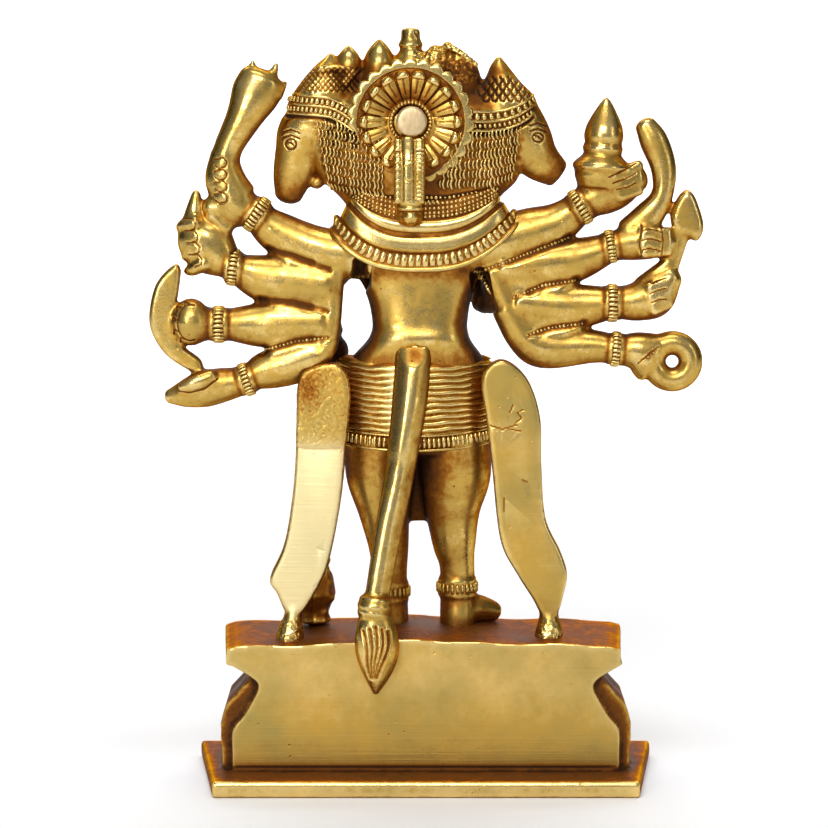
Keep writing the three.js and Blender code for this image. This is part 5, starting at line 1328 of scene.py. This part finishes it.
def buildWheel():
    cx, cz = wheelLook["centre"]
    core = [turned([[0, -3], [12.9, -3], [13.0, 3.6], [0, 3.8]], [cx, 0, cz], [0, 1, 0], sides=96)]
    for x, half, y, z0 in ((7.35, 1.15, 10.0, 173), (4.7, 1.6, 10.5, 173.4), (1.75, 1.5, 10.0, 173)):
        core.append(limb([[x + 0.2, y - 2.2, z0, half, 1.5], [x, y, 168, half, 1.6], [x, y, 157.4, half, 1.6]], sides=18, box=2.8))
    core.append(limb([[4.4, 5.4, 173, 4.2, 3.4], [4.2, 6, 153, 3.4, 3.6]]))
    core.append(turned([[0, -5.8], [0.9, -5.6], [1.9, -4.6], [2.3, -3.4], [1.9, -2.3], [1.5, -2], [3.4, -1.6], [3.7, -0.9], [3.2, -0.4], [3.6, 0.2],
                        [3.6, 0.9], [3.2, 1.4], [0, 2]], [4.1, 8.6, 156.6], [0, 0, 1]))
    left = [[7.4, 11.35, z] for z in np.linspace(171.2, 158, 20)]
    right = [[1.7, 11.35, z] for z in np.linspace(171.2, 158, 20)]
    trim = [wheelNet(),
            row("block", left, [[0, 1, 0]] * 20, 9, (0.6, 0.85, 0.45), seed=13, dirtAndShade=0.05),
            row("block", right, [[0, 1, 0]] * 20, 13, (0.42, 1.15, 0.4), seed=14, dirtAndShade=0.08)]
    obj = fuse("idol_wheel", core, 0.3, 1)
    carve(obj, [[(3.4, z), (4.6, z - 0.5), (5.6, z)] for z in (168.4, 163.2)], 0.3, 0.12, facing=0.3, dirtAndShade=0.15)
    return obj, trim


def buildPin():
    at = (3.9, 9.2, 178.4)
    return meshObject("rosette_pin_piece", *turned(
        [[0, -6.4], [3.9, -6.4], [4.05, -6.2], [4.05, -0.9], [3.9, -0.5], [3.6, -0.22], [3.2, -0.1], [2, -0.03], [0, 0]], at, (0, 1, 0), sides=64))


pieces["idol_plinth"] = (buildPlinth(), [], 0)
print("plinth shaped")
pieces["idol_legs"] = (*buildLower(), 100000)
print("legs, skirt and sashes shaped")
pieces["idol_body"] = (*buildBody(), 92000)
print("body and collar shaped")
pieces["idol_arms"] = (*buildArms(), 155000)
print("arms shaped")
pieces["idol_heads"] = (*buildHeads(), 125000)
print("heads shaped")
pieces["idol_wheel"] = (*buildWheel(), 50000)
print("wheel shaped")
pieces["rosette_pin_piece"] = (buildPin(), [], 0)


# Where patina gathers in narrow hollows, and painted shade where little light reaches

def depthOfRecess(obj):
    co, normal = coordinates(obj.data), normals(obj.data)
    fine = np.einsum("ij,ij->i", smoothedCopy(obj, 5) - co, normal)
    wide = np.einsum("ij,ij->i", smoothedCopy(obj, 40) - co, normal)
    return fine, wide


# Painted occlusion shade: the share of rays from each point of a coarse skin that meet the figure within 22 mm.
def occlusionShadeGrid():
    skins = [(coordinates(obj.data), triangles(obj.data)) for obj, _, _ in pieces.values()]
    whole = joined(skins + [(points, faces) for _, trim, _ in pieces.values() for points, faces, _ in trim])
    coarse = fuse("coarse", [whole], 1.8, 1)
    co, normal = coordinates(coarse.data), normals(coarse.data)
    tree = BVHTree.FromPolygons(co.tolist(), triangles(coarse.data).tolist())
    rng = np.random.default_rng(5)
    rays = rng.normal(size=(24, 3))
    rays /= np.linalg.norm(rays, axis=1)[:, None]
    hidden = np.zeros(len(co))
    for i in range(len(co)):
        start = Vector(co[i] + normal[i] * 0.9)
        hit = 0
        total = 0
        for ray in rays:
            facing = ray @ normal[i]
            if facing < 0:
                ray, facing = -ray, -facing
            total += facing
            if tree.ray_cast(start, Vector(ray), 22.0)[0] is not None:
                hit += facing
        hidden[i] = hit / total
    bpy.data.objects.remove(coarse)
    return co, hidden


def spread(co, values, low, cell=2.0):
    size = np.ceil((cadHigh - cadLow + 8) / cell).astype(int) + 2
    cellOf = ((co - low) / cell).astype(int)
    flat = np.ravel_multi_index(cellOf.T, size)
    total = np.bincount(flat, values, minlength=size.prod()).reshape(size)
    count = np.bincount(flat, minlength=size.prod()).reshape(size).astype(float)
    for axis in range(3):
        for grid in (total, count):
            grid += 0.6 * (np.roll(grid, 1, axis) + np.roll(grid, -1, axis))
    return total / np.maximum(count, 1e-6)


def sampled(grid, co, low, cell=2.0):
    at = (co - low) / cell - 0.5
    base = np.floor(at).astype(int)
    part = at - base
    base = np.clip(base, 0, np.array(grid.shape) - 2)
    out = np.zeros(len(co))
    for dx in (0, 1):
        for dy in (0, 1):
            for dz in (0, 1):
                weight = np.abs(1 - dx - part[:, 0]) * np.abs(1 - dy - part[:, 1]) * np.abs(1 - dz - part[:, 2])
                out += weight * grid[base[:, 0] + dx, base[:, 1] + dy, base[:, 2] + dz]
    return out


# Weights: patina in fine and wide hollows, painted occlusion shade on the figure and on the loose rows, painted shade
# on sideways-facing surfaces and undersides, the unpolished plinth, and how much lighter the plinth is where it faces
# up.
patinaAndShadeLook = {"fine": 3.4, "wide": 0.62, "occlusionShade": 0.72, "start": 0.16, "trimOcclusionShade": 0.5, "sideShade": 0.4, "under": 0.16, "plinth": 0.40, "upFacingLighter": 0.24}

low = cadLow - 4
occlusionShadeAt, occlusionShade = occlusionShadeGrid()
grid = spread(occlusionShadeAt, occlusionShade, low)
print("shelter measured", round(float(occlusionShade.mean()), 3))

def setPatinaAndShade(obj, patinaAndShade, ground):
    for label, values in (("patinaAndShade", patinaAndShade), ("ground", ground)):
        layer = obj.data.attributes.get(label) or obj.data.attributes.new(label, "FLOAT", "POINT")
        layer.data.foreach_set("value", np.asarray(values, np.float32))


def readPatinaAndShade(obj, label):
    values = np.empty(len(obj.data.vertices), np.float32)
    obj.data.attributes[label].data.foreach_get("value", values)
    return values


for name, (obj, trim, budget) in pieces.items():
    p = patinaAndShadeLook
    co = np.clip(coordinates(obj.data), cadLow + 0.01, cadHigh - 0.01)
    obj.data.vertices.foreach_set("co", co.astype(np.float32).ravel())
    obj.data.update()
    normal = normals(obj.data)
    fine, wide = depthOfRecess(obj) if not name.startswith("rosette") else (np.zeros(len(co)), np.zeros(len(co)))
    # Patina in fine and wide hollows, plus painted occlusion shade from the grid.
    recessAndShade = p["start"] + p["fine"] * fine + p["wide"] * wide + p["occlusionShade"] * sampled(grid, co, low)
    # Painted shade on surfaces that turn sideways from the back and on undersides.
    sideShade = smoothStep((0.74 - np.abs(normal[:, 1])) / 0.66)
    recessAndShade = recessAndShade + soiledAndShaded.get(obj.name, 0) + patinaAndShadeLook["sideShade"] * sideShade + patinaAndShadeLook["under"] * smoothStep(-normal[:, 2] / 0.7)
    ground = np.zeros(len(co))
    if name == "idol_plinth":
        ground = smoothStep((normal[:, 1] - 0.7) / 0.2) * (np.abs(co[:, 1] - plinthSizes["backY"]) < 0.6)
        slabBack = smoothStep((normal[:, 1] - 0.8) / 0.15) * (co[:, 2] < 4.6)
        facingFront = smoothStep((-normal[:, 1] - 0.25) / 0.4)
        ledge = smoothStep((normal[:, 1] - 0.3) / 0.4) * (co[:, 2] > 4.6)
        recessAndShade += (p["plinth"] + 0.3 * ledge) * (1 - np.maximum(ground, slabBack)) * (1 - facingFront)
        # Less darkening where the plinth faces up.
        recessAndShade -= p["upFacingLighter"] * smoothStep((normal[:, 2] - 0.6) / 0.3)
    elif name == "idol_legs":
        ground = smoothStep((normal[:, 1] - 0.8) / 0.15) * (np.abs(co[:, 1] - 2.6) < 1.6) * (np.abs(co[:, 0] - 2.5) > 15.5)
        ground *= 1 - 0.6 * (co[:, 0] > 17) * smoothStep((co[:, 2] - 89) / 5)
        # Painted shade on the flat back of the −X sash.
        recessAndShade += 0.08 * (co[:, 0] < -15) * ground
    elif name == "idol_arms":
        # The −X arms a little darker than the +X arms, and more darkening at the arms' sides: both painted shade.
        recessAndShade += np.where(co[:, 0] > 0, 0.06, 0.09) + 0.16 * sideShade
    elif name == "idol_body":
        recessAndShade += 0.08
    setPatinaAndShade(obj, recessAndShade, ground)
    count = len(triangles(obj.data))
    if budget and count > budget:
        thin = obj.modifiers.new("thin", "DECIMATE")
        thin.ratio = budget / count
        settle(obj)
    if trim:  # the rows that aren't fused keep their own dirt and painted shade, with a share of the painted occlusion shade
        co, faces = coordinates(obj.data), triangles(obj.data)
        patinaAndShade, ground = [readPatinaAndShade(obj, "patinaAndShade")], [readPatinaAndShade(obj, "ground")]
        skins = [(co, faces)]
        for points, corners, dirtAndShade in trim:
            points = np.clip(points, cadLow + 0.01, cadHigh - 0.01)
            skins.append((points, corners))
            patinaAndShade.append(dirtAndShade + p["trimOcclusionShade"] * (sampled(grid, points, low) - 0.35))
            ground.append(np.zeros(len(points)))
        bpy.data.objects.remove(obj)
        obj = meshObject(name, *joined(skins))
        setPatinaAndShade(obj, np.concatenate(patinaAndShade), np.concatenate(ground))
    obj.name = name
    obj.data.transform(((0.001, 0, 0, 0), (0, 0.001, 0, 0), (0, 0, 0.001, 0), (0, 0, 0, 1)))
    obj.data.polygons.foreach_set("use_smooth", np.ones(len(obj.data.polygons), bool))
    if name == "idol_plinth":
        obj.data.set_sharp_from_angle(angle=math.radians(38))
    obj.data.materials.clear()
    obj.data.materials.append(paleMetal if name.startswith("rosette") else castBrass)
    obj.data.update()
    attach(obj, "root")
    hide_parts("rosette_pin" if name.startswith("rosette") else "idol")
    print(name, len(triangles(obj.data)), "triangles", "patinaAndShade", np.round(np.percentile(readPatinaAndShade(obj, "patinaAndShade"), [5, 50, 95]), 2))

for shape in ornaments.values():
    bpy.data.objects.remove(shape)


# Floor, light and camera

studio = {"floor": (0.93, 0.93, 0.93, 1), "horizon": 0.03, "zenith": 0.42,
          "cameraAt": (0.0032, 0.7637, 0.1895), "pitch": 6.699, "focalPixels": 2852.1}


def backdrop():
    bend = [(-1.6 - 0.9 * math.sin(a), 0.9 - 0.9 * math.cos(a)) for a in np.linspace(0, math.pi / 2, 13)]
    line = [(2.2, 0.0), (0.5, 0.0)] + bend + [(-2.5, 3.0)]
    points = [(x, y, z) for y, z in line for x in (-4.0, 4.0)]
    faces = [(2 * i, 2 * i + 1, 2 * i + 3, 2 * i + 2) for i in range(len(line) - 1)]
    mesh = bpy.data.meshes.new("studio_floor")
    mesh.from_pydata(points, [], faces)
    mesh.polygons.foreach_set("use_smooth", [True] * len(faces))
    obj = bpy.data.objects.new("studio_floor", mesh)
    scene.collection.objects.link(obj)
    material, tree = cleanMaterial("studio paper")
    s = Shader(tree)
    tone = s.noise(s.node("ShaderNodeTexCoord").outputs["Object"], 3.0)
    colour = s.mix(s.remap(tone, 0.3, 0.7), studio["floor"], (0.95, 0.95, 0.95, 1))
    paper = s.node("ShaderNodeBsdfPrincipled", {"Base Color": colour, "Roughness": 0.9})
    out = s.node("ShaderNodeOutputMaterial")
    tree.links.new(paper.outputs[0], out.inputs["Surface"])
    mesh.materials.append(material)


def softBox(name, at, target, width, height, watts):
    light = bpy.data.lights.new(name, "AREA")
    light.shape = "RECTANGLE"
    light.size, light.size_y, light.energy = width, height, watts
    obj = bpy.data.objects.new(name, light)
    obj.location = at
    obj.rotation_euler = (Vector(target) - Vector(at)).to_track_quat("-Z", "Y").to_euler()
    scene.collection.objects.link(obj)


def gradientWorld():
    world = bpy.data.worlds.new("studio")
    world.use_nodes = True
    tree = world.node_tree
    tree.nodes.clear()
    s = Shader(tree)
    direction = s.node("ShaderNodeTexCoord").outputs["Generated"]
    parts = s.node("ShaderNodeSeparateXYZ", {"Vector": direction})
    toward = s.math("ADD", s.math("MULTIPLY", parts.outputs["Y"], 0.62), s.math("MULTIPLY", parts.outputs["Z"], 0.72))
    strength = s.remap(toward, 0.1, 0.95, studio["horizon"], studio["zenith"])
    glow = s.node("ShaderNodeBackground", {"Color": (0.95, 0.96, 1.0, 1), "Strength": strength})
    out = s.node("ShaderNodeOutputWorld")
    tree.links.new(glow.outputs[0], out.inputs["Surface"])
    scene.world = world


backdrop()
gradientWorld()
softBox("key light", (0.12, 0.95, 0.70), (0, 0, 0.1), 0.55, 0.26, 5.0)
softBox("window light", (0.42, 0.95, 0.30), (0, 0, 0.1), 0.24, 0.26, 1.7)
softBox("fill light", (-0.95, 0.75, 0.4), (0, 0, 0.1), 0.2, 0.7, 1.1)
softBox("top light", (0.0, 0.35, 1.25), (0, 0, 0.1), 0.6, 0.3, 3.6)
softBox("paper light", (0.0, -1.2, 1.9), (0, -2.4, 0.6), 2.4, 1.2, 62)
scene.view_settings.view_transform = "Standard"

camera = bpy.data.objects.new("camera", bpy.data.cameras.new("camera"))
camera.data.sensor_width = 36.0
camera.data.lens = studio["focalPixels"] * 36.0 / 828
camera.data.clip_start, camera.data.clip_end = 0.02, 20
camera.location = studio["cameraAt"]
camera.rotation_euler = (math.radians(90 - studio["pitch"]), 0, math.pi)
scene.collection.objects.link(camera)
scene.camera = camera

print("scene ready")
